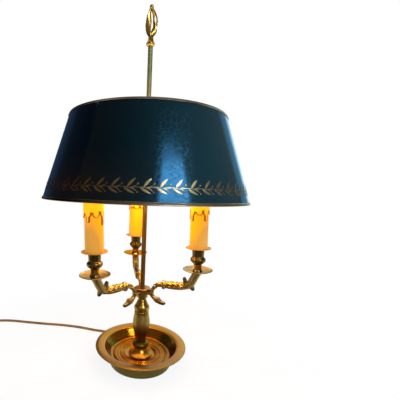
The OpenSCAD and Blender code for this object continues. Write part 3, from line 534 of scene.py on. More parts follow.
class Sheet:
    """A material under construction: its tree, its shader and its own coordinates."""

    def __init__(self, name: str) -> None:
        """Makes an empty material.

        Args:
            name: The material's name.
        """
        self.material = bpy.data.materials.new(name)
        self.material.use_nodes = True
        self.t = Tree(self.material.node_tree)
        self.shader = self.t.find("BSDF_PRINCIPLED")
        self.place = self.t.put("TexCoord").outputs["Object"]

    def set(self, **values: object) -> None:
        """Sets or links the shader's sockets."""
        for key, value in values.items():
            self.t.feed(self.shader.inputs[key.replace("_", " ")], value)

    def noise(self, scale: float, detail: float = 3.0) -> bpy.types.NodeSocket:
        """Returns a noise over the piece."""
        return self.t.noise(self.place, scale, detail)

    def effect(self, effect: Effect, **values: object) -> bpy.types.bpy_prop_collection:
        """Places an effect on the piece and returns its outputs."""
        return effect.place(self.t, Vector=self.place, **values)

    def relief(self, height: object, strength: float) -> None:
        """Raises the surface by a height."""
        bump = self.t.put("Bump", Strength=strength, Distance=0.2 * MM, Height=height)
        self.set(Normal=bump.outputs[0])


# ---- Finishes ----


class Finish:
    """A finish that makes its own material."""

    name: str

    def look(self, sheet: Sheet) -> None:
        """Sets the shader of the sheet, in each kind of finish."""
        raise NotImplementedError

    def made(self) -> bpy.types.Material:
        """Builds the material.

        Returns:
            The material.
        """
        sheet = Sheet(self.name)
        self.look(sheet)
        return sheet.material


@dataclass(frozen=True)
class MetalFinish(Finish):
    """Polished, aged or plain metal."""

    name: str
    bright: Colour
    dull: Colour
    amount: float = 0.5
    scale: float = 40.0
    rough: float = 0.2
    dull_rough: float = 0.38
    relief: float = 0.15
    # The colours by height and by side are painted shade or reflection, each mixed in between two
    # ends in millimetres.
    tint: tuple[Colour, float, float] | None = None
    side: tuple[Colour, float, float] | None = None
    brushed: float = 0.0
    graze: Colour = (1.0, 0.85, 0.6, 1)

    def look(self, sheet: Sheet) -> None:
        """Lays tarnish over the metal, with painted shade or reflection mixed in by height and by
        side.

        Args:
            sheet: The material under construction.
        """
        t = sheet.t
        worn = sheet.effect(TARNISH, Scale=self.scale, Amount=self.amount, Bright=self.bright,
                            Dull=self.dull)
        colour = worn["Color"]
        x, _, z = t.axes(sheet.place)
        for tinted, along in ((self.tint, z), (self.side, x)):
            if tinted is not None:
                colour = t.mixed(t.fade(along, tinted[1:]), colour, tinted[0])
        sheet.set(Metallic=1.0, Base_Color=colour,
                  Roughness=t.spread(worn["Mask"], 0.0, 1.0, self.rough, self.dull_rough))
        sheet.relief(sheet.effect(HAIRLINES, Scale=1100.0)["Height"], self.relief)
        sheet.set(Anisotropic=self.brushed, Anisotropic_Rotation=0.25, Specular_Tint=self.graze)


@dataclass(frozen=True)
class DishFinish(Finish):
    """Spun brass: a warm inside that is partly painted lamp light, painted shade on the floor, a
    painted dark reflection on the outer wall, and a brown lip with painted shade at its front.
    """

    name: str = "dish brass"
    # The warm inside is partly painted lamp light, the floor colour painted shade and the outside
    # colour a painted dark reflection.
    inside: Colour = (0.76, 0.32, 0.022, 1)
    inside_dull: Colour = (0.3, 0.115, 0.005, 1)
    floor: Colour = (0.46, 0.17, 0.003, 1)
    outside: Colour = (0.1, 0.075, 0.017, 1)
    lip: Colour = (0.56, 0.25, 0.025, 1)
    lip_front_shade: Colour = (0.3, 0.16, 0.04, 1)
    wall: Point = (52.6, 12.0)
    throat: Point = (62.0, 27.0)
    skin: Point = (-1.2, -0.2)
    floor_z: Point = (16.5, 14.5)
    lip_z: Point = (26.8, 28.5)
    front_y: Point = (-10.0, -75.0)

    def look(self, sheet: Sheet) -> None:
        """Tells the floor, the bowl, the lip and the outer wall apart, with painted shade on the
        floor and the lip's front and a painted dark reflection on the outer wall.

        Args:
            sheet: The material under construction.
        """
        t = sheet.t
        worn = sheet.effect(TARNISH, Scale=26.0, Amount=0.75, Bright=self.inside,
                            Dull=self.inside_dull)
        _, y, z = t.axes(sheet.place)
        (wall_r, wall_z), (throat_r, throat_z) = self.wall, self.throat
        above = t.math("MAXIMUM", t.minus(z, wall_z * MM), 0.0)
        wall = t.plus(t.times(above, (throat_r - wall_r) / (throat_z - wall_z)), wall_r * MM)
        outer = t.fade(t.minus(t.radius(sheet.place), wall), self.skin)
        lip = t.fade(z, self.lip_z)
        # Painted shade on the floor and towards the lip's front, and a painted dark reflection on
        # the outer wall.
        colour = t.mixed(t.fade(z, self.floor_z), worn["Color"],
                         t.mixed(worn["Mask"], self.floor, self.inside_dull))
        colour = t.mixed(outer, colour, self.outside)
        colour = t.mixed(t.times(lip, 0.85), colour,
                         t.mixed(t.fade(y, self.front_y), self.lip, self.lip_front_shade))
        rough = t.spread(worn["Mask"], 0.0, 1.0, 0.17, 0.28)
        sheet.set(Metallic=1.0, Base_Color=colour, Roughness=t.plus(rough, t.times(lip, 0.16)))
        sheet.relief(sheet.effect(SPUN, Spacing=0.0013)["Height"], 0.12)


@dataclass(frozen=True)
class CastFinish(Finish):
    """Cast brass of an arm, with painted shade on the leaf, the spur and the underside.

    The ranges are heights z and distances s along the arm over which each part begins.
    """

    name: str = "arm brass"
    bright: Colour = (0.57, 0.37, 0.085, 1)
    dull: Colour = (0.22, 0.135, 0.04, 1)
    leaf_and_spur_shade: Colour = (0.12, 0.075, 0.035, 1)
    horn: Colour = (0.55, 0.42, 0.17, 1)
    leaf_z: Point = (23.5, 28.0)
    leaf_s: Point = (77.0, 74.5)
    spur_z: Point = (18.5, 14.5)
    spur_s: Point = (77.5, 79.5)
    under_z: Point = (16.5, 12.5)
    under_shade_s: Point = (30.0, 36.0)
    horn_s: Point = (73.0, 80.0)

    def look(self, sheet: Sheet) -> None:
        """Paints shade on the leaf, the spur and the underside, and pales the horn.

        Args:
            sheet: The material under construction.
        """
        t = sheet.t
        worn = sheet.effect(TARNISH, Scale=60.0, Amount=0.5, Bright=self.bright, Dull=self.dull)
        s, _, z = t.axes(sheet.place)
        # Painted shade darkens the leaf, the spur and the underside.
        leaf = t.times(t.fade(z, self.leaf_z), t.fade(s, self.leaf_s))
        spur = t.times(t.fade(z, self.spur_z), t.fade(s, self.spur_s))
        under = t.times(t.fade(z, self.under_z), t.fade(s, self.under_shade_s))
        colour = t.mixed(t.times(under, 0.65), worn["Color"], self.dull)
        colour = t.mixed(t.fade(s, self.horn_s, (0.0, 0.7)), colour, self.horn)
        colour = t.mixed(t.math("MAXIMUM", leaf, spur), colour, self.leaf_and_spur_shade)
        rough = t.spread(worn["Mask"], 0.0, 1.0, 0.26, 0.42)
        sheet.set(Metallic=1.0, Base_Color=colour,
                  Roughness=t.plus(rough, t.fade(s, self.horn_s, (0.0, 0.18))))
        sheet.relief(sheet.effect(HAIRLINES, Scale=500.0)["Height"], 0.08)


@dataclass(frozen=True)
class PaintFinish(Finish):
    """Dark lacquer with a soft gloss, cracked in one patch, with painted light making it bluer
    towards +X and painted shade near-black towards -X.
    """

    name: str = "shade lacquer"
    paint: Colour = (0.0075, 0.031, 0.042, 1)
    # worn is the near-black of the painted shade towards -X; warm makes that shade browner lower
    # down.
    worn: Colour = (0.0006, 0.0014, 0.0026, 1)
    warm: Colour = (0.0055, 0.0032, 0.0018, 1)
    crack: Colour = (0.03, 0.075, 0.09, 1)
    mirrored: Colour = (0.1, 0.5, 1.0, 1)
    lit_side_x: Point = (-80.0, 130.0)
    warm_z: Point = (350.0, 290.0)
    patch_deg: float = -75.5
    patch_z: Point = (397.0, 380.0)
    lean_z: Point = (380.0, 300.0)
    fine_z: Point = (365.0, 335.0)

    def look(self, sheet: Sheet) -> None:
        """Mixes the teal paint with the painted shade's near-black by side, and cuts large cracks
        at the top and small ones lower down.

        Args:
            sheet: The material under construction.
        """
        t = sheet.t
        x, y, z = t.axes(sheet.place)
        cloud = sheet.noise(9.0)
        # Painted light: the teal shows towards +X; painted shade, browner lower down, darkens the
        # rest.
        lit_side = t.times(t.fade(x, self.lit_side_x), t.spread(cloud, 0.2, 0.6, 0.7, 1.0))
        shaded_side = t.mixed(t.fade(z, self.warm_z), self.worn, self.warm)
        coarse = sheet.effect(CRACKLE, Scale=128.0, Width=0.02)["Mask"]
        fine = sheet.effect(CRACKLE, Scale=172.0, Width=0.05)["Mask"]
        angle = t.plus(t.math("ARCTAN2", y, x), t.fade(z, self.lean_z, (0.0, 0.07)))
        off = t.times(t.minus(angle, math.radians(self.patch_deg)), 1.5)
        near = t.minus(1.0, t.math("ABSOLUTE", t.math("SINE", off)))
        patch = t.times(t.spread(near, 0.62, 0.86), t.fade(z, self.patch_z))
        patch = t.times(patch, t.spread(sheet.noise(30.0, 2.0), 0.3, 0.55, 0.3, 1.0))
        lines = t.math("MAXIMUM", coarse, t.times(fine, t.fade(z, self.fine_z)))
        cracked = t.times(patch, lines)
        sheet.set(Base_Color=t.mixed(t.times(cracked, 0.36), t.mixed(lit_side, shaded_side, self.paint),
                                     self.crack),
                  Roughness=t.plus(t.spread(cloud, 0.3, 0.7, 0.1, 0.14), t.times(cracked, 0.3)))
        sheet.set(IOR=1.5, Specular_Tint=self.mirrored)
        sheet.relief(t.minus(sheet.noise(420.0, 2.0), t.times(cracked, 2.2)), 0.06)


@dataclass(frozen=True)
class EnamelFinish(Finish):
    """The pale inside of the shade, with the lamps' light painted on as a warm glow."""

    name: str = "shade lining"
    colour: Colour = (0.82, 0.6, 0.3, 1)
    stained: Colour = (0.72, 0.5, 0.24, 1)
    glow: Colour = (1.0, 0.48, 0.1, 1)
    low_glow: Colour = (1.0, 0.62, 0.2, 1)
    glow_z: Point = (400.0, 280.0)
    strength: float = 0.55

    def look(self, sheet: Sheet) -> None:
        """Stains the lining in clouds and paints the lamps' light on it as a glow.

        Args:
            sheet: The material under construction.
        """
        t = sheet.t
        _, _, z = t.axes(sheet.place)
        cloud = sheet.noise(14.0)
        # The emission is painted lamp light.
        sheet.set(Base_Color=t.mixed(t.spread(cloud, 0.3, 0.7), self.colour, self.stained),
                  Roughness=t.spread(cloud, 0.3, 0.7, 0.45, 0.6),
                  Emission_Color=t.mixed(t.fade(z, self.glow_z), self.glow, self.low_glow),
                  Emission_Strength=self.strength)
        sheet.relief(sheet.noise(500.0, 2.0), 0.1)


@dataclass(frozen=True)
class WaxFinish(Finish):
    """A wax sleeve with the bulb's light painted on: it glows yellow at the top and turns to tan
    lower down and on its outer side.
    """

    name: str = "candle wax"
    top: Colour = (0.84, 0.37, 0.001, 1)
    middle: Colour = (0.92, 0.35, 0.002, 1)
    low: Colour = (0.5, 0.26, 0.04, 1)
    edge: Colour = (0.2, 0.05, 0.002, 1)
    run: Colour = (0.95, 0.52, 0.006, 1)
    bottom_z: float = 38.8
    top_z: float = 122.8
    glow: float = 0.36

    def look(self, sheet: Sheet) -> None:
        """Paints the bulb's light on the wax, graded by height and side, and draws the edges of the
        drips.

        Args:
            sheet: The material under construction.
        """
        t = sheet.t
        x, _, z = t.axes(sheet.place)
        height = t.math("DIVIDE", t.minus(z, self.bottom_z * MM),
                        (self.top_z - self.bottom_z) * MM)
        # Painted light: yellower and glowing towards the top and towards the lamp's axis, tan lower
        # down and outwards.
        uneven = t.plus(height, t.times(t.minus(sheet.noise(25.0), 0.5), 0.25))
        lit_share = t.plus(uneven, t.fade(x, (-13.0, 13.0), (0.12, -0.4)))
        colour = t.mixed(t.spread(lit_share, -0.05, 0.34), self.low, self.middle)
        colour = t.mixed(t.spread(lit_share, 0.38, 0.86), colour, self.top)
        share = t.put("Attribute", {"attribute_name": "share"}).outputs["Fac"]
        covered = t.math("MULTIPLY", share, -0.6, clamp=True)
        colour = t.mixed(share, t.mixed(covered, colour, self.run), self.edge)
        sheet.set(Base_Color=colour, Emission_Color=colour, Emission_Strength=self.glow,
                  Roughness=t.spread(sheet.noise(90.0), 0.3, 0.7, 0.42, 0.58))
        sheet.set(Specular_IOR_Level=0.15)
        sheet.relief(sheet.noise(160.0), 0.12)


@dataclass(frozen=True)
class BulbFinish(Finish):
    """Frosted warm glass, lit from inside."""

    name: str = "bulb glass"
    glass: Colour = (1.0, 0.86, 0.62, 1)
    low_glow: Colour = (1.0, 0.42, 0.1, 1)
    high_glow: Colour = (1.0, 0.72, 0.34, 1)
    glow_z: Point = (120.0, 160.0)
    strength: float = 2.4

    def look(self, sheet: Sheet) -> None:
        """Lets the glass glow, redder at its foot.

        Args:
            sheet: The material under construction.
        """
        t = sheet.t
        _, _, z = t.axes(sheet.place)
        sheet.set(Base_Color=self.glass,
                  Roughness=t.spread(sheet.noise(300.0, 2.0), 0.3, 0.7, 0.22, 0.32),
                  Emission_Color=t.mixed(t.fade(z, self.glow_z), self.low_glow, self.high_glow),
                  Emission_Strength=self.strength)


@dataclass(frozen=True)
class MouldedFinish(Finish):
    """Moulded plastic, rubber or felt with a fine skin."""

    name: str
    colour: Colour
    second: Colour
    rough: float = 0.45
    scale: float = 700.0
    relief: float = 0.2
    sheen: float = 0.0

    def look(self, sheet: Sheet) -> None:
        """Mixes the two colours in clouds.

        Args:
            sheet: The material under construction.
        """
        t = sheet.t
        cloud = sheet.noise(self.scale * 0.1, 4.0)
        sheet.set(Base_Color=t.mixed(t.spread(cloud, 0.35, 0.65), self.colour, self.second),
                  Roughness=t.spread(cloud, 0.3, 0.7, self.rough - 0.06, self.rough + 0.08))
        sheet.set(Sheen_Weight=self.sheen)
        sheet.relief(sheet.noise(self.scale), self.relief)


def brass(name: str, bright: Point, dull: Point, **values: object) -> MetalFinish:
    """Returns a metal finish from two plain colours."""
    return MetalFinish(name, (*bright, 1), (*dull, 1), **values)


def moulded(name: str, colour: Point, second: Point, *values: float) -> MouldedFinish:
    """Returns a moulded finish from two plain colours."""
    return MouldedFinish(name, (*colour, 1), (*second, 1), *values)


FINISHES: dict[str, Finish] = {
    "felt": moulded("felt", (0.035, 0.05, 0.02), (0.02, 0.03, 0.012), 0.9, 1600.0, 0.8, 0.4),
    "plain_steel": brass("plain steel", (0.5, 0.5, 0.48), (0.3, 0.29, 0.27), rough=0.34),
    "ballast_iron": brass("ballast iron", (0.06, 0.055, 0.05), (0.1, 0.05, 0.03), rough=0.6,
                          dull_rough=0.8),
    "brass_fittings": brass("brass fittings", (0.62, 0.4, 0.11), (0.3, 0.17, 0.05), rough=0.24),
    "dish_brass": DishFinish(),
    "black_rubber": moulded("black rubber", (0.02, 0.018, 0.016), (0.03, 0.026, 0.022), 0.55),
    "column_brass": brass("column brass", (0.46, 0.3, 0.065), (0.22, 0.13, 0.027), rough=0.26,
                          relief=0.06, brushed=0.75),
    # The baluster darkens towards its foot: painted shade.
    "baluster_brass": brass("baluster brass", (0.46, 0.32, 0.085), (0.22, 0.135, 0.03), rough=0.34,
                            relief=0.06, tint=((0.1, 0.06, 0.02, 1), 72.0, 50.0), brushed=0.75),
    # Foot: the bright orange lower flare is a painted warm reflection and the darker upper part
    # painted shade.
    "foot_brass": brass("foot brass", (0.56, 0.28, 0.035), (0.28, 0.14, 0.02), scale=60.0,
                        rough=0.3, relief=0.05, tint=((0.13, 0.085, 0.015, 1), 20.6, 25.1)),
    "hub_copper": brass("hub copper", (0.4, 0.22, 0.09), (0.24, 0.13, 0.05), rough=0.3,
                        relief=0.05),
    "copper_tone": brass("copper tone", (0.4, 0.34, 0.2), (0.31, 0.25, 0.15), rough=0.34,
                         dull_rough=0.5, relief=0.05, graze=(0.95, 0.68, 0.4, 1)),
    # The back saucer's warmer copy is a painted warm reflection.
    "lit_back_saucer": brass("back saucer brass", (0.62, 0.3, 0.04), (0.46, 0.2, 0.03), rough=0.3,
                         relief=0.05, graze=(1.0, 0.55, 0.15, 1)),
    # The rod's green is a painted reflection of daylight, and its brown below the shade a painted
    # dark reflection.
    "rod_brass": brass("rod brass", (0.33, 0.38, 0.2), (0.24, 0.28, 0.14), amount=0.6, rough=0.55,
                       dull_rough=0.6, relief=0.05, tint=((0.16, 0.095, 0.025, 1), 330.0, 250.0),
                       brushed=0.75),
    "finial_brass": brass("finial brass", (0.9, 0.56, 0.11), (0.13, 0.1, 0.06), amount=0.7,
                          scale=110.0, rough=0.26, relief=0.08),
    "arm_brass": CastFinish(),
    # The back arm's copy carries less painted shade on its leaf and spur.
    "back_arm_less_shade": CastFinish("back arm brass", leaf_and_spur_shade=(0.42, 0.27, 0.07, 1)),
    "cup_brass": brass("cup brass", (0.22, 0.15, 0.045), (0.065, 0.045, 0.025), amount=0.6,
                       scale=70.0, rough=0.18, relief=0.05, brushed=0.7),
    "candle_wax": WaxFinish(),
    "pan_wax": WaxFinish("pan wax", low=(0.4, 0.19, 0.03, 1), middle=(0.4, 0.19, 0.03, 1),
                         glow=0.14),
    "holder_plastic": moulded("holder plastic", (0.03, 0.028, 0.026), (0.02, 0.018, 0.016), 0.35),
    "bulb_glass": BulbFinish(),
    "shade_paint": PaintFinish(),
    "shade_lining": EnamelFinish(),
    # The rim and the gilt band darken towards -X: painted shade.
    "rim_brass": brass("rim brass", (0.47, 0.42, 0.33), (0.31, 0.26, 0.19), amount=0.6, scale=24.0,
                       rough=0.28, relief=0.03, side=((0.016, 0.007, 0.003, 1), 10.0, -110.0)),
    "gilt": brass("gilt band", (0.5, 0.4, 0.22), (0.3, 0.23, 0.12), amount=0.6, scale=60.0,
                  rough=0.34, dull_rough=0.5, side=((0.22, 0.065, 0.02, 1), 10.0, -120.0)),
    "switch_case": moulded("switch case", (0.22, 0.13, 0.045), (0.19, 0.11, 0.04), 0.35),
    "switch_rocker": moulded("switch rocker", (0.4, 0.28, 0.12), (0.36, 0.25, 0.1), 0.3),
    "plug_plastic": moulded("plug plastic", (0.22, 0.13, 0.045), (0.19, 0.11, 0.04), 0.35),
    "pin_brass": brass("pin brass", (0.75, 0.55, 0.25), (0.5, 0.35, 0.15)),
    "cord_gold": moulded("gold cord", (0.28, 0.13, 0.022), (0.2, 0.09, 0.016), 0.34, 900.0, 0.15),
    "tie_plastic": moulded("tie plastic", (0.015, 0.015, 0.015), (0.02, 0.02, 0.02), 0.4),
}
MATERIALS: dict[str, bpy.types.Material] = {}


def finish(name: str) -> bpy.types.Material:
    """Finds the material of a finish, which is made when it is first asked for.

    Args:
        name: The finish's name in the table.

    Returns:
        Its material.
    """
    if name not in MATERIALS:
        MATERIALS[name] = FINISHES[name].made()
    return MATERIALS[name]


def dress(obj: bpy.types.Object, body: Body, slot: str, nodes: tuple[str, ...] = (),
          finishes: tuple[str, ...] | None = None) -> None:
    """Gives a new piece its finish and its body, and reports it.

    Args:
        obj: The piece, in its place.
        body: The body that it rides on.
        slot: The record's slot for its finish.
        nodes: The CAD nodes that it stands for.
        finishes: Its finishes in order, empty if it has them, or None for the slot's own.
    """
    for name in (slot,) if finishes is None else finishes:
        obj.data.materials.append(finish(name))
    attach(obj, body.value)
    if nodes:
        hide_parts(*nodes)
    LOG.info("%s rides on %s", obj.name, body.value)


# ---- Camera, floor and light ----


@dataclass(frozen=True)
class Viewpoint:
    """Where the camera stands and what it takes in."""

    place: Point = (0.0, -471.3, 292.5)
    yaw: float = 1.17
    pitch: float = -6.04
    roll: float = 1.8
    lens: float = 25.92
    shift: Point = (0.1529, 0.05)
    sensor: float = 36.0
    side: float = 400.0
    nearest: float = 10.0

    def axes(self) -> tuple[Vector, Vector, Vector]:
        """Works out where the camera points.

        Returns:
            The directions to the right, up and ahead.
        """
        yaw, pitch, roll = (math.radians(a) for a in (self.yaw, self.pitch, self.roll))
        ahead = Vector((-math.sin(yaw) * math.cos(pitch), math.cos(yaw) * math.cos(pitch),
                        math.sin(pitch)))
        right = ahead.cross(Vector((0, 0, 1))).normalized()
        up = right.cross(ahead)
        return (right * math.cos(roll) + up * math.sin(roll),
                up * math.cos(roll) - right * math.sin(roll), ahead)

    def ray(self, column: float, row: float) -> Vector:
        """Finds the direction in which a point of the view lies.

        Args:
            column: The point's distance from the view's left edge.
            row: Its distance from the upper edge.

        Returns:
            The direction.
        """
        right, up, ahead = self.axes()
        scale = self.sensor / self.lens
        return (ahead + right * (column / self.side - 0.5 + self.shift[0]) * scale
                + up * (0.5 - row / self.side + self.shift[1]) * scale).normalized()

    def build(self) -> None:
        """Makes the camera and sets it as the scene's camera."""
        right, up, ahead = self.axes()
        lens = bpy.data.cameras.new("camera")
        lens.sensor_width = self.sensor
        lens.lens = self.lens
        lens.shift_x, lens.shift_y = self.shift
        lens.clip_start = self.nearest * MM
        turned = Matrix((right, up, -ahead)).transposed().to_4x4()
        bpy.context.scene.camera = placed(
            "camera", lens, Matrix.Translation(Vector(self.place) * MM) @ turned)


@dataclass(frozen=True)
class Lamp:
    """One soft studio lamp."""

    name: str
    place: Point
    aim: Point
    size: Point
    power: float
    colour: Point

    def build(self) -> None:
        """Makes the lamp, aimed at its target."""
        light = bpy.data.lights.new(self.name, "AREA")
        light.shape = "RECTANGLE"
        light.size, light.size_y = self.size[0] * MM, self.size[1] * MM
        light.energy = self.power
        light.color = self.colour
        obj = placed(self.name, light)
        obj.location = Vector(self.place) * MM
        ahead = Vector(self.aim) - Vector(self.place)
        obj.rotation_euler = ahead.to_track_quat("-Z", "Y").to_euler()
        obj.visible_camera = obj.visible_glossy = False


def arch(turn: Point, rise: Point) -> list[Route]:
    """Draws a part of a bowl round the lamp.

    Args:
        turn: The directions between which it stands, in degrees.
        rise: The heights between which it stands, in degrees.

    Returns:
        Its rows of points, from the bottom to the top.
    """
    far, middle, rows, columns = 1500.0, 250.0, 6, 24
    drawn = []
    for i in range(rows + 1):
        up = math.radians(rise[0] + (rise[1] - rise[0]) * i / rows)
        drawn.append([])
        for k in range(columns + 1):
            around = math.radians(turn[0] + (turn[1] - turn[0]) * k / columns)
            drawn[-1].append((far * math.cos(up) * math.cos(around),
                              far * math.cos(up) * math.sin(around),
                              middle + far * math.sin(up)))
    return drawn


@dataclass(frozen=True)
class Board:
    """A studio board that shows only as a reflection in metal and paint."""

    name: str
    rows: list[Route]
    colour: Colour
    strength: float = 1.0

    def build(self) -> None:
        """Makes the board."""
        plate = Surface()
        plate.bridge([plate.ring(row) for row in self.rows], closed=False)
        obj = plate.made(self.name)
        obj.visible_camera = obj.visible_diffuse = False
        obj.visible_transmission = obj.visible_shadow = False
        sheet = Sheet(self.name)
        sheet.set(Base_Color=(0, 0, 0, 1), Roughness=1.0, Specular_IOR_Level=0.0,
                  Emission_Color=self.colour, Emission_Strength=self.strength)
        obj.data.materials.append(sheet.material)


@dataclass(frozen=True)
class Pane:
    """A window pane, by the row and the left and right column where its edges are mirrored."""

    upper: Point
    lower: Point
    strength: float


@dataclass(frozen=True)
class Studio:
    """A pale floor, a white surround, soft lamps, and boards that the metal mirrors."""

    lamps: tuple[Lamp, ...] = (
        Lamp("key", (1300, -1100, 1300), (0, 0, 200), (900, 900), 22.0, (0.94, 0.97, 1.0)),
        Lamp("fill", (-1500, -1100, 700), (0, 0, 200), (900, 1200), 5.0, (1.0, 0.97, 0.92)),
    )
    boards: tuple[Board, ...] = (
        Board("room", arch((-168, 28), (-4, 80)), (0.15, 0.115, 0.08, 1)),
        Board("left corner", arch((152, 192), (-4, 52)), (0.03, 0.045, 0.07, 1)),
        Board("table", [[(-900, y, 0.4), (900, y, 0.4)] for y in (-1300, -80)],
              (0.11, 0.08, 0.045, 1)),
        Board("right corner", arch((28, 46), (-3, 44)), (0.2, 0.5, 0.75, 1)),
        Board("right side", arch((46, 76), (-3, 44)), (0.9, 1.4, 1.9, 1)),
        Board("left side", arch((104, 152), (-3, 44)), (0.035, 0.08, 0.155, 1)),
    )
    panes: tuple[Pane, ...] = (
        Pane((160.5, 163.0, 182.0), (206.0, 157.5, 191.0), 15.0),
        Pane((147.0, 163.0, 169.0), (158.5, 163.0, 181.0), 4.5),
    )
    window_colour: Colour = (0.78, 0.92, 1.0, 1)
    window_far: float = 1100.0
    floor_half: float = 6000.0
    candle_power: float = 0.36
    candle_colour: Point = (1.0, 0.67, 0.27)
    candle_size: float = 8.0
    candle_place: Point = (-32.0, 0.0, 150.0)

    def white(self, t: Tree) -> bpy.types.NodeSocket:
        """Tells the rays that show the surround from those that light the lamp.

        Args:
            t: The tree to work in.

        Returns:
            1 for rays that are seen, mirrored or go through glass, and 0 for others.
        """
        path = t.put("LightPath").outputs
        both = t.math("ADD", path["Is Camera Ray"], path["Is Glossy Ray"], clamp=True)
        return t.math("ADD", both, path["Is Transmission Ray"], clamp=True)

    def floor(self) -> None:
        """Makes the floor, which looks white and keeps the lamp's soft shadow."""
        plate = Surface()
        half = self.floor_half
        plate.face(tuple(plate.ring([(-half, -half, 0), (half, -half, 0), (half, half, 0),
                                     (-half, half, 0)])))
        obj = plate.made("floor")
        sheet = Sheet("floor")
        t = sheet.t
        sheet.set(Base_Color=(0.9, 0.9, 0.9, 1), Roughness=0.8)
        glow = t.put("Emission", Color=(1, 1, 1, 1), Strength=1.0)
        clear = t.fade(t.radius(sheet.place), (100.0, 500.0), (0.86, 1.0))
        seen = t.times(self.white(t), clear)
        mix = t.wire(t.put("MixShader"), {0: seen, 1: sheet.shader.outputs[0],
                                          2: glow.outputs[0]})
        t.feed(t.find("OUTPUT_MATERIAL").inputs[0], mix)
        obj.data.materials.append(sheet.material)

    def surround(self) -> None:
        """Makes the world: white where it is seen, softer where it lights the lamp."""
        world = bpy.data.worlds.new("surround")
        bpy.context.scene.world = world
        world.use_nodes = True
        t = Tree(world.node_tree)
        back = t.find("BACKGROUND")
        t.feed(back.inputs["Color"], t.mixed(self.white(t), (0.6, 0.63, 0.68, 1), (1, 1, 1, 1)))
        t.feed(back.inputs["Strength"], 1.0)

    def window(self, view: Viewpoint, shade: "Shade") -> None:
        """Hangs the window's panes where the shade mirrors them to the camera.

        Args:
            view: The camera's place.
            shade: The cone that mirrors the window.
        """
        across = 3
        for number, pane in enumerate(self.panes):
            rows = []
            for row, left, right in (pane.upper, pane.lower):
                points = []
                for i in range(across + 1):
                    ahead = view.ray(left + (right - left) * i / across, row)
                    spot = shade.seen(Vector(view.place), ahead)
                    out = shade.outward(spot)
                    points.append(tuple(
                        spot + (ahead - out * 2 * ahead.dot(out)) * self.window_far))
                rows.append(points)
            Board(f"window {number}", rows, self.window_colour, pane.strength).build()

    def candle_light(self) -> None:
        """Lets each candle's bulb throw warm light down on the brass."""
        for place in ARMS:
            light = bpy.data.lights.new(f"candle light {place.name}", "POINT")
            light.energy = self.candle_power
            light.color = self.candle_colour
            light.shadow_soft_size = self.candle_size * MM
            obj = placed(light.name, light)
            obj.location = place.horn() @ (Vector(self.candle_place) * MM)
            obj.visible_camera = False

    def build(self, view: Viewpoint, shade: "Shade") -> None:
        """Makes floor, surround, lamps and boards.

        Args:
            view: The camera's place.
            shade: The cone that mirrors the window.
        """
        self.floor()
        self.surround()
        self.candle_light()
        self.window(view, shade)
        for piece in (*self.lamps, *self.boards):
            piece.build()
        bpy.context.scene.view_settings.view_transform = "Standard"


# ---- Cord ----


@dataclass(frozen=True)
class Cord:
    """The gold cord: from the dish through the switch to a coil and the plug."""

    diameter: float = 5.0
    length: float = 1800.0
    exit_deg: float = 120.0
    exit_z: float = 6.4
    wall_r: float = 52.5
    relief: float = 24.0
    switch: Point = (-327.0, 54.0)
    switch_l: float = 60.0
    switch_low: float = 8.0
    coil: Point = (-293.0, -12.0)
    coil_r: Point = (37.0, 22.0)
    rows: int = 3
    per_turn: int = 16
    layer_z: Point = (3.05, 8.1)
    plug: Point = (-327.0, -60.0)
    plug_mid: float = 6.8
    lead: Points = (
        (-45, 76, 5), (-53, 81, 3.4), (-63, 84.5, 2.8), (-80, 88.5, 2.6), (-97, 92, 2.6),
        (-127, 100.5, 2.6), (-166, 107, 2.6), (-205, 110, 2.6), (-240, 113.5, 2.6),
        (-272, 117, 2.6), (-290, 117.5, 2.6), (-302, 116, 2.6), (-312, 113.5, 2.7),
        (-320, 108.5, 3.2), (-325, 100.5, 4.8), (-327, 92, 7.2))
    link: Points = ((-327, 20, 7.6), (-327.8, 8, 5.4), (-329.4, -2, 3.6))
    tail: Points = ((-329.4, -22, 7.9), (-328, -34, 7.2), (-327.2, -46, 6.9))

    def turns(self) -> Route:
        """Winds the coil: inwards on the table, then outwards on top of that.

        Returns:
            The points of all turns, both ends included.
        """
        outer, inner = self.coil_r
        low, high = self.layer_z
        step = (outer - inner) / self.rows
        wound = []
        for i in range((2 * self.rows + 1) * self.per_turn + 1):
            t = i / self.per_turn
            r = outer - step * min(t, self.rows) + step * max(0.0, t - self.rows - 1)
            lift = ease(self.rows + 0.1, self.rows + 0.9, t)
            angle = math.pi + math.tau * t
            wound.append((self.coil[0] + r * math.cos(angle), self.coil[1] + r * math.sin(angle),
                          low + (high - low) * lift))
        return wound

    def route(self) -> Route:
        """Joins the cord's stretches.

        Returns:
            Every point of the cord, from inside the dish to inside the plug.
        """
        angle = math.radians(self.exit_deg)
        mouth = self.wall_r + self.relief
        start = [(math.cos(angle) * s, math.sin(angle) * s, self.exit_z)
                 for s in (mouth - 10, mouth + 1)]
        x, y = self.switch
        half = self.switch_l / 2
        through = [(x, y + half * s, self.switch_low) for s in (1, 0.4, -0.4, -1)]
        end = [(self.plug[0], self.plug[1] - s, self.plug_mid) for s in (0, 8)]
        return [*start, *self.lead, *through, *self.link, *self.turns(), *self.tail, *end]

    def build(self) -> None:
        """Makes the cord along its route and dresses it."""
        drawn = bpy.data.curves.new("cord", "CURVE")
        drawn.dimensions = "3D"
        drawn.bevel_depth = self.diameter / 2 * MM
        drawn.bevel_resolution = 3
        drawn.use_fill_caps = True
        drawn.resolution_u = 4
        line = drawn.splines.new("BEZIER")
        points = self.route()
        line.bezier_points.add(len(points) - 1)
        for knot, point in zip(line.bezier_points, points):
            knot.co = Vector(point) * MM
            knot.handle_left_type = knot.handle_right_type = "AUTO"
        obj = placed("gold_cord", drawn)
        dress(obj, Body.STAND, "cord_gold", ("cord_lead", "cord_link", "cord_tail", "cord_coil"))


# ---- Dish and column ----


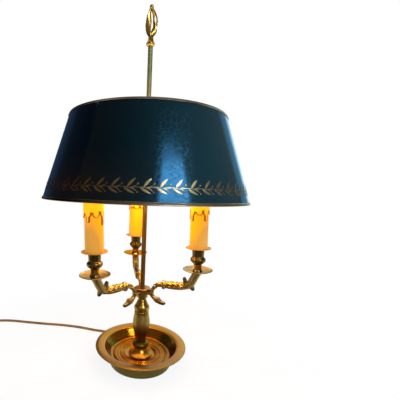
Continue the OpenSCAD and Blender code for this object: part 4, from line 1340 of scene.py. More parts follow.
def turn_piece(name: str, slot: str, wear: str, node: str, profile: Route, sides: int = 96,
               body: Body = Body.STAND, where: Matrix | None = None,
               crease: float = 38.0) -> None:
    """Turns a closed profile of (radius, height) into a piece that stands for one node."""
    shell = Surface().lathe(profile, sides, closed=True)
    dress(shell.made(name, where, crease), body, slot, (node,), (wear,))


@dataclass(frozen=True)
class Dish:
    """The spun dish with its rings and its rolled lip."""

    wall_r: float = 52.5
    inner_r: float = 50.7
    felt: float = 1.0
    floor_z: float = 12.6
    under_z: float = 10.8
    throat: Point = (61.0, 28.2)
    rings: Points = ((43.4, 0.9, 1.5), (38.6, 0.35, 1.0), (33.9, 0.9, 1.3),
                                (30.9, 0.5, 0.9), (27.7, 0.9, 1.2))

    def section(self) -> Route:
        """Draws the closed profile: up the outside, over the lip and down to the rings.

        Returns:
            The profile as (radius, height).
        """
        f, r = self.floor_z, self.wall_r
        foot = [(self.inner_r, self.felt), (r - 0.3, self.felt)]
        wall = [(r, self.felt + 0.3), (r, 6.0), (r + 0.15, 11.0), (53.7, 14.6), (57.8, 20.6),
                (61.8, 25.2), (64.8, 27.6), (69.0, 29.3), (73.0, 29.5)]
        edge = [(73.0, 29.5), (74.8, 29.0), (76.0, 28.9), (76.6, 29.4), (76.2, 29.9), (74.8, 30.3)]
        lip = [(74.8, 30.3), (71.8, 30.7), (68.6, 30.6), (65.0, 30.0), (62.2, 29.0), self.throat]
        bowl = [self.throat, (59.9, 26.0), (57.0, 21.6), (53.8, 16.9), (51.4, 13.9), (49.8, 12.9),
                (47.9, f)]
        ground = [(r + w * out, f + h * up) for r, h, w in self.rings
                  for out, up in ((1, 0), (0.55, 0.6), (0, 1), (-0.55, 0.6), (-1, 0))]
        return outline(foot, wall, edge, lip, bowl, ground, [(18.0, f), (6.0, f)],
                       [(6.0, self.under_z), (self.inner_r, self.under_z)], steps=4)

    def build(self) -> None:
        """Makes the dish."""
        turn_piece("spun_dish", "dish_brass", "dish_brass", "dish", self.section(), 160, crease=50)


@dataclass(frozen=True)
class Column:
    """The turned pieces between the dish and the arms."""

    floor_z: float = 12.6
    foot_r: float = 20.0
    foot_h: float = 21.4
    neck_r: float = 9.5
    baluster_h: float = 50.6
    baluster_r: float = 14.6
    ring_h: float = 5.2
    ring_r: float = 12.1
    bead_h: float = 8.6
    bead_r: float = 13.0
    cone_h: float = 12.6
    collar_r: float = 6.4
    bore_r: float = 5.1

    def turned(self, name: str, z: float, wear: str, *runs: Route) -> None:
        """Makes one turned piece with a bore.

        Args:
            name: The piece's name in the column.
            z: The height of its lower end.
            wear: Its finish.
            runs: Its profile from the bottom to the top.
        """
        profile = [(r, z + h) for r, h in outline(*runs)]
        turn_piece(f"turned_{name}", "column_brass", wear, f"column_{name}",
                   [(self.bore_r, profile[0][1]), *profile, (self.bore_r, profile[-1][1])])

    def scaled(self, r: float, h: float, *shares: Point) -> Route:
        """Returns a profile given as shares of a radius and a height."""
        return [(r * a, h * b) for a, b in shares]

    def build(self) -> None:
        """Makes the pieces in order, from the foot to the cone."""
        z = self.floor_z
        r, n = self.foot_r, self.neck_r
        self.turned("foot", z, "foot_brass",
                    [(r - 0.3, 0.0), (r, 0.5), (r - 0.1, 1.1), (r - 0.8, 1.5)],
                    [(r - 0.8, 1.5), (r - 3.8, 3.0), (r - 6.9, 5.4), (r - 8.9, 8.0),
                     (n + 0.2, 10.4), (n, 11.4)],
                    [(n, 11.4), (n + 2.3, 12.4), (n + 3.9, 14.3), (n + 4.2, 16.2), (n + 3.8, 18.2),
                     (n + 2.2, 19.9), (n + 0.3, 20.5)],
                    [(n + 0.3, 20.5), (n, 21.0), (n - 0.6, self.foot_h)])
        z += self.foot_h
        self.turned("baluster", z, "baluster_brass", self.scaled(
            self.baluster_r, self.baluster_h, (0.6, 0), (0.585, 0.04), (0.64, 0.12), (0.76, 0.26),
            (0.88, 0.4), (0.97, 0.54), (1, 0.62), (0.985, 0.72), (0.93, 0.84), (0.86, 0.94),
            (0.83, 1)))
        z += self.baluster_h
        self.turned("ring", z, "column_brass", self.scaled(
            self.ring_r, self.ring_h, (0.86, 0), (0.92, 0.08), (1, 0.22), (1.005, 0.4), (1, 0.56),
            (0.93, 0.68), (0.9, 0.74)),
            self.scaled(self.ring_r, self.ring_h, (0.9, 0.74), (0.9, 1)))
        z += self.ring_h
        self.turned("bead", z, "column_brass", self.scaled(
            self.bead_r, self.bead_h, (0.86, 0), (0.94, 0.1), (1, 0.32), (1.005, 0.48), (1, 0.64),
            (0.96, 0.86), (0.9, 1)))
        z += self.bead_h
        r, h, c = self.bead_r, self.cone_h, self.collar_r
        self.turned("cone", z, "column_brass",
                    [(r * 0.9, 0), (r * 0.82, h * 0.14), (c + 2.4, h * 0.45), (c + 0.6, h * 0.76),
                     (c, h * 0.86)], [(c, h * 0.86), (c + 0.6, h * 0.91), (c + 0.5, h)])


@dataclass(frozen=True)
class HubCap:
    """The coppery disc on the hub that the rod stands on."""

    z: float = 127.0
    radius: float = 13.6
    thickness: float = 2.5
    bore_r: float = 3.1

    def build(self) -> None:
        """Makes the disc with its rounded edge."""
        r, z, b = self.radius, self.z, self.bore_r
        top = z + self.thickness
        turn_piece("turned_hub_cap", "copper_tone", "hub_copper", "hub_cap", outline(
            [(b, z - 4.5), (6.9, z - 4.5)], [(7.0, z), (r - 0.9, z)],
            [(r - 0.9, z), (r - 0.2, z + 0.3), (r, z + 0.9), (r - 0.3, z + 1.5),
             (r - 1.2, z + 2.0)],
            [(r - 1.2, z + 2.0), (r - 4.5, z + 2.3), (6.0, top), (b, top)]))


# ---- Arms ----


@dataclass(frozen=True)
class ArmPlace:
    """Where one arm stands and how far it is bent up."""

    name: str
    turn: float
    bend: float
    root_s: float = 15.9
    root_z: float = 121.72
    reach: float = 90.55
    rise: float = 43.0

    def arm(self) -> Matrix:
        """Works out where the arm's radial plane is.

        Returns:
            Its frame, in metres.
        """
        to_root = Matrix.Translation(Vector((self.root_s, 0, self.root_z)) * MM)
        back = Matrix.Translation(Vector((-self.root_s, 0, 0)) * MM)
        return (Matrix.Rotation(math.radians(self.turn), 4, "Z") @ to_root
                @ Matrix.Rotation(math.radians(-self.bend), 4, "Y") @ back)

    def horn(self) -> Matrix:
        """Returns the frame at the top of the arm's horn, in metres."""
        return self.arm() @ Matrix.Translation(Vector((self.reach, 0, self.rise)) * MM)


ARMS = (ArmPlace("right", -17.0, 0.9), ArmPlace("back", 100.2, 0.0),
        ArmPlace("left", 220.2, -2.2))


@dataclass(frozen=True)
class ArmCasting:
    """The cast arm: a beast's head under the root, an engraved sheath and a horn.

    Each run is a list of (distance along the arm, height, half height, half width).
    """

    neck: Points = (
        (23.4, -9.6, 3.7, 3.7), (20.6, -7.9, 3.5, 3.5), (17.4, -4.6, 3.5, 3.6),
        (15.9, 0.0, 4.2, 4.4), (18.1, 6.0, 3.3, 3.5), (21.9, 11.2, 3.4, 3.5),
        (26.9, 14.8, 3.8, 3.9), (33.4, 15.9, 4.4, 4.6), (40.0, 16.2, 4.6, 4.8))
    sheath: Points = (
        (34.4, 16.0, 6.0, 6.0), (35.6, 16.1, 7.6, 7.4), (37.6, 16.3, 7.4, 7.2),
        (40.2, 16.4, 5.8, 6.0), (48.0, 16.6, 6.3, 6.5), (54.0, 16.8, 6.5, 6.6),
        (60.0, 16.8, 6.4, 6.4), (66.0, 16.9, 5.9, 6.0), (71.0, 17.7, 5.3, 5.5),
        (75.0, 19.3, 4.9, 5.1))
    horn: Points = (
        (68.0, 17.0, 4.6, 4.6), (74.1, 18.2, 5.3, 5.3), (78.0, 20.6, 5.8, 5.8),
        (81.4, 24.8, 6.1, 6.1), (84.6, 31.0, 6.3, 6.3), (87.0, 36.0, 6.4, 6.4),
        (89.2, 40.2, 6.5, 6.5), (90.55, 42.9, 6.6, 6.6))
    skull: Points = (
        (20.0, -8.0, 3.0, 3.0), (23.4, -10.2, 4.3, 4.5), (27.0, -11.7, 4.8, 5.0),
        (30.4, -12.9, 3.8, 4.2), (33.6, -13.9, 2.6, 3.2), (37.0, -14.9, 2.0, 2.5),
        (39.4, -15.6, 1.5, 1.8), (40.6, -15.9, 0.6, 0.8))
    jaw: Points = (
        (24.5, -13.2, 2.2, 3.2), (29.0, -15.4, 2.0, 3.0), (33.4, -17.0, 1.5, 2.5),
        (37.0, -17.6, 1.2, 1.8), (38.8, -17.4, 0.5, 0.8))
    leaf: Points = (
        (68.8, 19.0, 3.2, 4.2), (71.0, 22.4, 3.3, 4.6), (71.4, 26.0, 3.2, 4.5),
        (70.6, 29.2, 2.9, 3.9), (69.6, 31.4, 2.5, 2.9), (69.0, 32.4, 1.3, 1.4))
    spur: Points = (
        (79.4, 24.0, 4.4, 4.4), (81.4, 19.8, 4.6, 4.2), (83.4, 16.0, 3.9, 3.4),
        (84.6, 13.2, 2.6, 2.4), (85.0, 12.0, 1.2, 1.2))
    snout: Points = (
        (24.6, -7.0, 0.8, 0.9), (28.0, -7.6, 1.1, 1.2), (31.0, -9.8, 0.8, 0.9),
        (33.5, -11.9, 0.4, 0.5))
    root: Points = (
        (11.12, 0.0, 4.3, 4.3), (11.9, 0.0, 4.4, 4.4), (14.8, 0.0, 4.4, 4.4),
        (16.4, 0.0, 4.3, 4.3), (17.6, 0.0, 3.6, 3.6))
    band: Points = ((21.6, 11.0, 4.2, 4.2), (22.6, 12.0, 4.3, 4.3))
    brow: Points = (
        (25.0, 3.0, -7.4, 0.8, 1.0), (28.0, 3.7, -7.9, 0.9, 1.1), (31.0, 3.4, -9.9, 0.6, 0.8))
    eye: Points = ((28.0, 3.9, -9.6), (1.5, 1.0, 1.3))
    nostril: Points = ((37.9, 1.6, -13.7), (0.9, 0.6, 0.6))
    knuckle: Points = ((15.9, 0, 0), (4.6, 4.9, 4.7))
    voxel: float = 0.46

    def path(self, points: Points, steps: int) -> Route:
        """Puts a run into space and smooths it."""
        return [(s, 0.0, z, a, b) for s, z, a, b in spline(points, steps)]

    def engraved(self, share: float, angle: float, p: Point) -> Point:
        """Cuts chevron veins into the top of the sheath and a groove along its sides.

        Args:
            share: The share of the path.
            angle: The angle round the path, 0 on top.
            p: The point of the path.

        Returns:
            The thickness and width there.
        """
        side = abs(math.remainder(angle, math.tau)) / math.pi
        depth = (ease(0.12, 0.25, share) * (1 - ease(0.86, 0.97, share))
                 * (1 - ease(0.5, 0.6, side)))
        vein = math.cos(math.tau * (share * 7.0 - side * 3.2))
        groove = (math.exp(-((side - 0.5) / 0.07) ** 2)
                  + 0.7 * math.exp(-((side - 0.8) / 0.07) ** 2))
        ridge = math.exp(-(side / 0.05) ** 2)
        change = depth * (0.42 * vein + 0.4 * ridge) - 1.3 * groove * ease(0.15, 0.3, share)
        return p[3] + change, p[4] + change

    def fluted(self, share: float, angle: float, p: Point) -> Point:
        """Cuts fine flutes round the lower part of the horn, as engraved does."""
        flute = 0.28 * math.cos(14 * angle) * (1 - ease(0.45, 0.8, share)) * ease(0.12, 0.3, share)
        return p[3] + flute, p[4] + flute

    def veined(self, share: float, angle: float, p: Point) -> Point:
        """Raises a rib along the middle of a leaf, as engraved does."""
        rib = 0.5 * math.exp(-(math.sin(angle) / 0.22) ** 2) * (1 - share)
        return p[3] + rib, p[4] * (1 + 0.08 * math.cos(share * 26))

    def half_head(self, body: Surface, side: int) -> None:
        """Adds the eye, the snout, the nostril and the brow of one side of the head.

        Args:
            body: The casting so far.
            side: -1 or 1.
        """
        (s, y, z), size = self.eye
        body.ball((s, side * y, z), size, 12)
        body.sweep(self.path(self.snout, 6), 10)
        (s, y, z), size = self.nostril
        body.ball((s, side * y, z), size, 10)
        body.sweep(spline([(s, side * y, *rest) for s, y, *rest in self.brow], 5), 10)

    def studs(self, body: Surface, hoop: Point, size: Point, sides: int,
              angles: list[float]) -> None:
        """Adds beads on a hoop round the arm.

        Args:
            body: The casting so far.
            hoop: The hoop's distance along the arm, half width, height and half height.
            size: The radii of a bead.
            sides: The number of points in each ring of a bead.
            angles: Where the beads sit, from the top.
        """
        s, wide, z, high = hoop
        for a in angles:
            body.ball((s, wide * math.sin(a), z + high * math.cos(a)), size, sides)

    def mesh(self) -> bpy.types.Mesh:
        """Builds and fuses the casting once, for all arms.

        Returns:
            Its mesh.
        """
        body = Surface()
        for run, steps, sides, shape in (
                (self.neck, 6, 28, None), (self.sheath, 9, 56, self.engraved),
                (self.horn, 7, 56, self.fluted), (self.skull, 6, 28, None),
                (self.jaw, 6, 20, None), (self.leaf, 6, 24, self.veined),
                (self.spur, 6, 18, None), (self.root, 1, 32, None), (self.band, 1, 24, None)):
            body.sweep(self.path(run, steps), sides, shape)
        body.ball(*self.knuckle, 24)
        for side in (-1, 1):
            self.half_head(body, side)
        self.studs(body, (36.2, 6.5, 16.1, 6.6), (1.7, 1.2, 1.2), 14,
                   [math.tau * (k + 0.5) / 10 for k in range(10)])
        self.studs(body, (67.0, 5.2, 17.0, 5.3), (2.4, 1.5, 1.3), 12,
                   [math.radians(-80 + 40 * k) for k in range(5)])
        obj = body.made("arm_pattern")
        fuse(obj, self.voxel)
        mesh = obj.data
        bpy.data.objects.remove(obj)
        return mesh

    def build(self) -> None:
        """Places one casting at each arm, with less painted shade on the back one's leaf and spur.
        """
        mesh = self.mesh()
        mesh.materials.clear()
        mesh.materials.append(finish("arm_brass"))
        less_shaded = mesh.copy()
        less_shaded.materials[0] = finish("back_arm_less_shade")
        for place in ARMS:
            cast = less_shaded if place.name == "back" else mesh
            dress(placed(f"cast_arm_{place.name}", cast, place.arm()), Body.STAND, "arm_brass",
                  (f"arm_{place.name}",), ())


# ---- Candles ----


@dataclass(frozen=True)
class Candle:
    """One candle: drip saucer, vase cup, pan, wax sleeve and bulb.

    The drips are given by their angle in degrees and how far they have run down.
    """

    place: ArmPlace
    drips: Points
    saucer_r: float = 23.1
    saucer_h: float = 5.0
    horn_r: float = 6.6
    bore_r: float = 4.1
    cup_z: float = 1.2
    cup_h: float = 36.4
    bulge_r: float = 12.0
    barrel_r: float = 9.5
    pan_z: float = 37.6
    pan_r: float = 19.7
    sleeve_z: float = 38.8
    sleeve_r: float = 13.9
    sleeve_bore_r: float = 12.7
    sleeve_h: float = 84.0
    sleeve_sides: int = 176
    sleeve_rows: int = 104
    skirt: float = 29.0
    wax: float = 0.95
    drip_r: float = 2.1
    drip_foot: float = 4.6
    bulb_z: float = 121.8
    bulb_h: float = 72.0
    bulb_r: float = 17.5

    def turned(self, name: str, slot: str, node: str, *runs: Route, wear: str = "") -> None:
        """Makes a turned piece of the candle from its closed profile."""
        turn_piece(f"{name}_{self.place.name}", slot, wear or slot, f"{node}_{self.place.name}",
                   outline(*runs), 72, where=self.place.horn())

    def saucer(self) -> None:
        """Makes the shallow drip saucer with its rolled edge."""
        r, h, b = self.saucer_r, self.saucer_h, self.bore_r
        # The back saucer takes the warmer copy: painted warm reflection.
        self.turned("drip_saucer", "copper_tone", "saucer",
                    [(b, 0.0), (self.horn_r, 0.0)],
                    [(self.horn_r, 0.0), (r * 0.45, 0.35), (r * 0.68, 1.1), (r * 0.88, 2.6),
                     (r * 0.97, h - 1.3)],
                    [(r * 0.97, h - 1.3), (r, h - 0.9), (r + 0.02, h - 0.4), (r - 0.4, h),
                     (r - 1.0, h - 0.3)],
                    [(r - 1.0, h - 0.3), (r * 0.86, 3.5), (r * 0.66, 2.2), (r * 0.5, 1.6),
                     (r * 0.42, 1.25)],
                    [(r * 0.42, 1.25), (b, 1.2)],
                    wear="lit_back_saucer" if self.place.name == "back" else "")

    def cup(self) -> None:
        """Makes the vase-shaped cup."""
        z, h, r, n, b = self.cup_z, self.cup_h, self.bulge_r, self.bore_r + 1.7, self.barrel_r
        self.turned("vase_cup", "cup_brass", "cup",
                    [(self.bore_r, z), (n + 1.9, z)],
                    [(n + 1.9, z), (n + 2.0, z + 0.7), (n + 1.5, z + 1.6), (n + 0.4, z + 3.6),
                     (n, z + 6.4), (n + 0.1, z + 9.0), (n + 1.0, z + 12.0),
                     (r * 0.8, z + h * 0.4), (r * 0.965, z + h * 0.465), (r, z + h * 0.52),
                     (r * 0.965, z + h * 0.575), (r * 0.86, z + h * 0.615)],
                    [(r * 0.86, z + h * 0.615), (b - 0.35, z + h * 0.66), (b - 0.3, z + h * 0.76),
                     (b, z + h * 0.93), (b + 0.5, z + h - 0.4), (b + 0.4, z + h)],
                    [(b + 0.4, z + h), (self.bore_r, z + h)])

    def pan(self) -> None:
        """Makes the pan that catches the wax."""
        r, z = self.pan_r, self.pan_z
        self.turned("candle_pan", "candle_wax", "pan",
                    [(self.bore_r, z), (r * 0.7, z)],
                    [(r * 0.7, z), (r * 0.88, z + 0.2), (r - 0.3, z + 0.8), (r, z + 1.4),
                     (r - 0.3, z + 1.9), (r - 1.0, z + 1.8), (r * 0.86, z + 1.35),
                     (r * 0.78, z + 1.2)],
                    [(r * 0.78, z + 1.2), (self.bore_r, z + 1.2)], wear="pan_wax")

    def wax_edge(self, angle: float) -> float:
        """Works out how far the wax has run down at an angle.

        Args:
            angle: The angle round the candle, in degrees.

        Returns:
            The distance from the candle's top.
        """
        run = (self.skirt - 3.0 + 1.6 * math.sin(math.radians(angle * 3 + 40))
               + 1.0 * math.sin(math.radians(angle * 7)))
        r = self.drip_r
        for where, length in self.drips:
            off = abs(math.remainder(math.radians(angle - where), math.tau)) * self.sleeve_r
            if off < r:
                run = max(run, length - r + math.sqrt(max(0.0, r ** 2 - off ** 2)))
            elif off < self.drip_foot:
                run = max(run, self.skirt + (1 - ease(r, self.drip_foot, off)) * 3.0)
        return run

    def coat(self, depth: float, edges: list[float]) -> tuple[Route, list[float]]:
        """Lays the run wax round the sleeve at one level.

        Args:
            depth: The distance from the candle's top.
            edges: How far the wax has run down at each point of a ring.

        Returns:
            The ring's points, and a share for each: 1 on the edge of the run wax, -1 on the
            wax and 0 below it.
        """
        sides = self.sleeve_sides
        points, shares = [], []
        cover = [ease(-0.9, 0.9, edge - depth) for edge in edges]
        tip = 0.4 * ease(self.skirt + 1, self.skirt + 5, depth)
        for k in range(sides):
            out = self.sleeve_r + (self.wax + tip) * ease(-0.3, 0.9, edges[k] - depth)
            near = sum(cover[(k + n) % sides] for n in range(-3, 4)) / 7
            shares.append(4 * near * (1 - near) - ease(0.9, 1.0, near))
            angle = math.tau * k / sides
            points.append((out * math.cos(angle), out * math.sin(angle),
                           self.sleeve_z + self.sleeve_h - depth))
        return points, shares

    def sleeve(self) -> None:
        """Makes the wax sleeve with its skirt of run wax."""
        sides, rows = self.sleeve_sides, self.sleeve_rows
        low, top = self.sleeve_z, self.sleeve_z + self.sleeve_h
        edges = [self.wax_edge(360 * k / sides) for k in range(sides)]
        depths = [top - low, top - low - 12.0, *(52.0 - 51.0 * i / (rows - 1) for i in range(rows))]
        shell = Surface()
        rings = [shell.ring(*self.coat(depth, edges)) for depth in depths]
        for r, z in ((self.sleeve_r + 0.7, top - 0.2), (self.sleeve_r, top),
                     (self.sleeve_bore_r, top - 0.4), (self.sleeve_bore_r, low)):
            rings.append(shell.ring(oval(r, r, z, sides)))
        shell.bridge([*rings, rings[0]])
        name = self.place.name
        dress(shell.made(f"wax_sleeve_{name}", self.place.horn(), 60), Body.STAND, "candle_wax",
              (f"sleeve_{name}",))

    def bulb(self) -> None:
        """Makes the glowing candle bulb."""
        shares = ((0.0, 0.0), (0.4, 0.0), (0.42, 0.04), (0.62, 0.12), (0.86, 0.22), (0.98, 0.32),
                  (1, 0.4), (0.96, 0.5), (0.84, 0.62), (0.65, 0.74), (0.44, 0.84), (0.24, 0.92),
                  (0.12, 0.97), (0.0, 1.0))
        drawn = [(r * self.bulb_r, self.bulb_z + z * self.bulb_h) for r, z in shares]
        shell = Surface().lathe(spline(drawn, 4), 48)
        name = self.place.name
        dress(shell.made(f"bulb_glass_{name}", self.place.horn(), 60), Body.STAND, "bulb_glass",
              (f"bulb_{name}",))

    def build(self) -> None:
        """Makes the candle's pieces from the saucer up."""
        for make in (self.saucer, self.cup, self.pan, self.sleeve, self.bulb):
            make()


CANDLES = (
    Candle(ARMS[0], ((-132, 41), (-85, 31.5), (-42, 41), (12, 30.5), (54, 37), (99, 32),
                     (169, 40))),
    Candle(ARMS[1], ((171, 32), (130, 29), (215, 30), (20, 40), (70, 36), (-40, 43), (-90, 33))),
    Candle(ARMS[2], ((-23, 34.5), (25, 39.5), (73, 33), (120, 44.5), (169, 34), (219, 43),
                     (269, 33))),
)


# ---- Finial ----


@dataclass(frozen=True)
class Finial:
    """A bead and neck that open into a loop of twisted ribbons.

    Each ribbon is a list of (distance from the axis, height, half thickness, half width,
    twist in degrees).
    """

    z: float = 512.8
    height: float = 61.0
    neck: Points = (
        (3.9, 0), (5.4, 0.7), (6.5, 2.0), (6.8, 3.2), (6.4, 4.6), (5.6, 6.2), (5.0, 8.0),
        (4.5, 10.2), (3.9, 12.4), (3.6, 14.4))
    ribbons: tuple[Points, ...] = (
        ((0, 12.0, 2.4, 3.0, 0), (-1.9, 16.5, 2.4, 3.6, 25), (-3.9, 22.0, 2.1, 4.1, 55),
         (-4.4, 29.0, 1.9, 4.5, 80), (-3.8, 37.0, 1.8, 4.4, 98), (-3.4, 45.0, 1.7, 3.6, 125),
         (-2.0, 52.5, 1.8, 2.6, 160), (0, 57.4, 1.8, 2.0, 180)),
        ((0, 12.0, 2.4, 3.0, 0), (2.1, 16.5, 2.4, 3.6, -40), (4.5, 22.0, 2.1, 4.3, -80),
         (5.6, 28.0, 1.9, 3.3, -110), (4.0, 36.0, 1.5, 2.3, -160), (3.4, 45.0, 1.5, 2.3, -200),
         (1.8, 52.5, 1.7, 2.2, -240), (0, 57.4, 1.8, 2.0, -270)),
        ((5.4, 23.5, 1.8, 2.8, -110), (8.4, 30.5, 1.4, 2.1, -140), (8.7, 40.0, 1.3, 2.0, -180),
         (5.4, 48.5, 1.4, 2.0, -220), (1.2, 55.0, 1.5, 1.9, -250)))

    def build(self) -> None:
        """Makes the bead, the ribbons and the tip as one casting."""
        z = self.z
        cast = Surface()
        cast.lathe([(0, z), *[(r, z + h) for r, h in spline(self.neck, 4)], (0, z + 14.6)], 48)
        for run in self.ribbons:
            cast.sweep([(x, 0.0, z + h, a, w, turn) for x, h, a, w, turn in spline(run, 8)], 24)
        cast.ball((0, 0, z + self.height - 3.5), (3.2, 3.2, 3.45), 20)
        obj = cast.made("twisted_finial")
        fuse(obj, 0.4)
        dress(obj, Body.STAND, "rod_brass", ("finial",), ("finial_brass",))


# ---- Shade ----


@dataclass(frozen=True)
class Shade:
    """The painted cone with its rims and its laurel band.

    Each leaf is (start, height, end, height, width, bow) and each berry (place, height,
    radius), with starts, ends and places in shares of the distance between two sprigs.
    """

    z: float = 275.3
    height: float = 125.8
    bottom_r: float = 160.0
    top_r: float = 121.0
    wall: float = 1.0
    bottom_rim: float = 3.6
    top_rim: float = 3.0
    stem_z: float = 295.1
    leaves: Points = (
        (-0.5, 0.3, 0.0, 10.3, 3.0, 0.5), (-0.72, -0.1, -0.04, -6.7, 2.6, -0.6),
        (-0.3, 0.1, 0.16, 3.3, 0.5, -0.8), (-0.42, -0.1, 0.1, -4.6, 0.9, 0.9))
    berries: Points = ((0.17, 4.0, 0.95), (0.13, -5.4, 0.75))
    repeats: int = 53
    first_deg: float = -87.6
    lift: float = 0.14
    sides: int = 288

    def radius(self, z: float) -> float:
        """Returns the radius of the painted face at a height above the table."""
        return self.bottom_r - (self.bottom_r - self.top_r) * (z - self.z) / self.height

    def seen(self, eye: Vector, ahead: Vector) -> Vector:
        """Follows a ray from the eye to the face.

        Args:
            eye: Where the ray starts.
            ahead: Its direction.

        Returns:
            The first point of the face that it meets.
        """
        spot = eye.copy()
        while math.hypot(spot.x, spot.y) > self.radius(spot.z):
            spot += ahead * 0.5
        return spot

    def outward(self, spot: Vector) -> Vector:
        """Returns the direction that the face looks in at a spot."""
        rise = Vector((0.0, 0.0, (self.bottom_r - self.top_r) / self.height))
        return (Vector((spot.x, spot.y, 0.0)).normalized() + rise).normalized()

    def on_face(self, along: float, up: float, lift: float) -> Point:
        """Finds the place of a point drawn on the face.

        Args:
            along: Degrees round the axis.
            up: Height above the table.
            lift: Distance outside the paint.

        Returns:
            The point in space.
        """
        r = self.radius(up) + lift
        return (r * math.cos(math.radians(along)), r * math.sin(math.radians(along)), up)

    def per_degree(self) -> float:
        """Returns the length of one degree along the band's stem."""
        return math.radians(1) * self.radius(self.stem_z)

    def cone(self) -> None:
        """Makes the shell: lacquer outside and a pale lining inside."""
        shell = Surface()
        low, high, rows = self.z + 0.6, self.z + self.height - 0.6, 24
        heights = [low + (high - low) * i / rows for i in range(rows + 1)]
        shell.lathe([(self.radius(z), z) for z in heights], self.sides)
        shell.lathe([(self.radius(z) - self.wall, z) for z in heights], self.sides, kind=1)
        obj = shell.made("painted_cone")
        dress(obj, Body.SHADE, "shade_paint", ("shade_cone",), ("shade_paint", "shade_lining"))
        self.face_out(obj.data)

    def face_out(self, mesh: bpy.types.Mesh) -> None:
        """Turns the lacquer's faces away from the axis and the lining's towards it.

        Args:
            mesh: The shell's mesh.
        """
        work = bmesh.new()
        work.from_mesh(mesh)
        for face in work.faces:
            middle = face.calc_center_median()
            outwards = face.normal.x * middle.x + face.normal.y * middle.y > 0
            if outwards != (face.material_index == 0):
                face.normal_flip()
        work.to_mesh(mesh)
        work.free()

    def rims(self) -> None:
        """Makes the folded brass bands over both edges."""
        low, high = self.z, self.z + self.bottom_rim
        r, e = self.radius(low), self.radius(high)
        turn_piece("folded_bottom_rim", "rim_brass", "rim_brass", "shade_bottom_rim", outline(
            [(r - 1.2, low + 2.4), (r - 1.5, low + 0.8), (r - 0.9, low), (r + 0.1, low),
             (r + 0.9, low + 0.5)],
            [(r + 0.9, low + 0.5), (r + 0.75, low + 1.1), (e + 0.7, high - 0.7)],
            [(e + 0.7, high - 0.7), (e + 1.2, high - 0.35), (e + 1.25, high + 0.1),
             (e + 0.7, high + 0.4), (e - 0.1, high + 0.3)]), self.sides, Body.SHADE)
        top = self.z + self.height
        low = top - self.top_rim
        r, e = self.radius(top), self.radius(low)
        turn_piece("folded_top_rim", "rim_brass", "rim_brass", "shade_top_rim", outline(
            [(e - 0.1, low - 0.3), (e + 0.7, low - 0.35), (e + 1.15, low), (e + 0.9, low + 0.5)],
            [(e + 0.9, low + 0.5), (r + 0.85, top - 0.7)],
            [(r + 0.85, top - 0.7), (r + 0.5, top - 0.1), (r - 0.4, top), (r - 1.2, top - 0.3),
             (r - 1.4, top - 1.0), (r - 1.1, top - 2.4)]), self.sides, Body.SHADE)

    def blade(self, drawn: Surface, root: Point, tip: Point, width: float, bow: float) -> None:
        """Lays one leaf on the face.

        Args:
            drawn: The band so far.
            root: Where the leaf starts, as (degrees, height).
            tip: Where it ends.
            width: Its largest width in millimetres.
            bow: How far its middle bends upwards.
        """
        scale = self.per_degree()
        dx, dz = (tip[0] - root[0]) * scale, tip[1] - root[1]
        length = math.hypot(dx, dz)
        across = (-dz / length, dx / length)
        rows = []
        steps = 9
        for i in range(steps + 1):
            t = i / steps
            fullness = math.sin(math.pi * t ** 0.8) ** 0.8 if 0 < t < 1 else 0.0
            half = width / 2 * fullness + 0.1
            mx = root[0] * scale + dx * t
            mz = root[1] + dz * t + bow * math.sin(math.pi * t)
            rows.append(drawn.ring([
                self.on_face((mx + across[0] * o * half) / scale, mz + across[1] * o * half,
                             self.lift + (0.16 if o == 0 else 0.0)) for o in (-1, 0, 1)]))
        drawn.bridge(rows, closed=False)

    def berry(self, drawn: Surface, where: Point, size: float) -> None:
        """Lays one berry on the face.

        Args:
            drawn: The band so far.
            where: Its middle, as (degrees, height).
            size: Its radius.
        """
        sides = 10
        centre = drawn.ring([self.on_face(*where, self.lift + 0.3)])[0]
        edge = oval(size / self.per_degree(), size, self.lift, sides, where)
        rim = drawn.ring([self.on_face(*spot) for spot in edge])
        for k in range(sides):
            drawn.face((centre, rim[k], rim[(k + 1) % sides]))

    def laurel(self) -> None:
        """Lays the band of leaves and berries round the shade."""
        drawn = Surface()
        pitch = 360 / self.repeats
        mid = self.stem_z
        rows = []
        steps = self.repeats * 8
        for i in range(steps):
            along = 360 * i / steps
            wave = 0.45 * math.sin(math.radians((along - self.first_deg) / pitch * 360))
            rows.append(drawn.ring([self.on_face(along, mid + wave + h, self.lift)
                                    for h in (-0.3, 0.3)]))
        drawn.bridge([*rows, rows[0]], closed=False)
        for n in range(self.repeats):
            tip = self.first_deg + n * pitch
            for start, low, end, high, width, bow in self.leaves:
                self.blade(drawn, (tip + start * pitch, mid + low),
                           (tip + end * pitch, mid + high), width, bow)
            for along, up, size in self.berries:
                self.berry(drawn, (tip + along * pitch, mid + up), size)
        dress(drawn.made("laurel_band", crease=60), Body.SHADE, "rim_brass", (), ("gilt",))

    def build(self) -> None:
        """Makes the shell, its rims and its band."""
        self.cone()
        self.rims()
        self.laurel()


# ---- Carried-over pieces ----


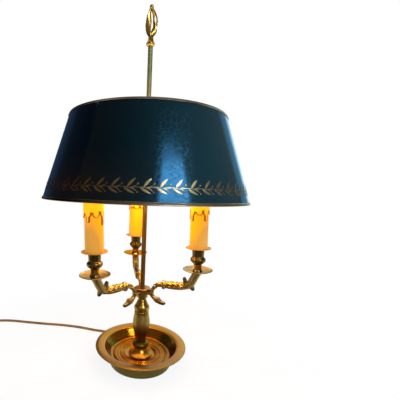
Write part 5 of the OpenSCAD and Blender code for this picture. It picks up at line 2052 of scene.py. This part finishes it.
@dataclass(frozen=True)
class Fittings:
    """The CAD pieces whose shape is right and that get their finish here."""

    worn: tuple[tuple[str, tuple[str, ...]], ...] = (
        ("felt", ("felt_pad",)),
        ("plain_steel", ("base_cover", "base_washer", "threaded_tube", "candle_nipples",
                         "bulb_caps")),
        ("ballast_iron", ("ballast_disc",)),
        ("black_rubber", ("cord_bushing",)),
        ("brass_fittings", ("base_locknut", "arm_hub", "arm_nipples", "slide_collar", "ring_nut",
                            "lock_screw", "spider_hub", "shade_spider")),
        ("rod_brass", ("rod",)),
        ("holder_plastic", ("holder_right", "holder_back", "holder_left")),
        ("shade_paint", ("shade_rivets",)),
        ("switch_case", ("switch_lower", "switch_upper")),
        ("switch_rocker", ("switch_rocker",)),
        ("plug_plastic", ("plug_body",)),
        ("pin_brass", ("plug_pins",)),
        ("tie_plastic", ("cord_tie",)))
    rounded: tuple[tuple[str, float], ...] = (
        ("arm_hub", 0.5), ("switch_lower", 0.9), ("switch_upper", 1.2), ("switch_rocker", 0.4),
        ("plug_body", 1.6), ("shade_spider", 0.4), ("ring_nut", 0.3), ("slide_collar", 0.3),
        ("lock_screw", 0.4), ("cord_tie", 0.1))
    sharp_deg: float = 50.0

    def wear(self, name: str, kind: str) -> None:
        """Gives a node its finish and breaks its sharp edges if it is one that shows.

        Args:
            name: The node's name.
            kind: Its slot, which is also its finish.
        """
        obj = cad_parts[name]
        obj.data.materials.clear()
        obj.data.materials.append(finish(kind))
        obj.data.polygons.foreach_set("material_index", [0] * len(obj.data.polygons))
        width = dict(self.rounded).get(name)
        if width:
            edge = obj.modifiers.new("broken edges", "BEVEL")
            edge.width = width * MM
            edge.segments = 2
            edge.limit_method = "ANGLE"
            edge.angle_limit = math.radians(self.sharp_deg)
        LOG.info("%s keeps its shape in %s", name, kind)

    def build(self) -> None:
        """Gives every carried-over node its finish."""
        for kind, names in self.worn:
            for name in names:
                self.wear(name, kind)


def main() -> None:
    """Builds the lamp: camera and cord first, then each piece in order."""
    logging.basicConfig(level=logging.INFO, format="%(name)s: %(message)s")
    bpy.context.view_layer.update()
    view, shade = Viewpoint(), Shade()
    view.build()
    Cord().build()
    Studio().build(view, shade)
    for piece in (Dish(), Column(), HubCap(), ArmCasting(), *CANDLES, Finial(), shade, Fittings()):
        piece.build()


if __name__ == "__main__":
    main()
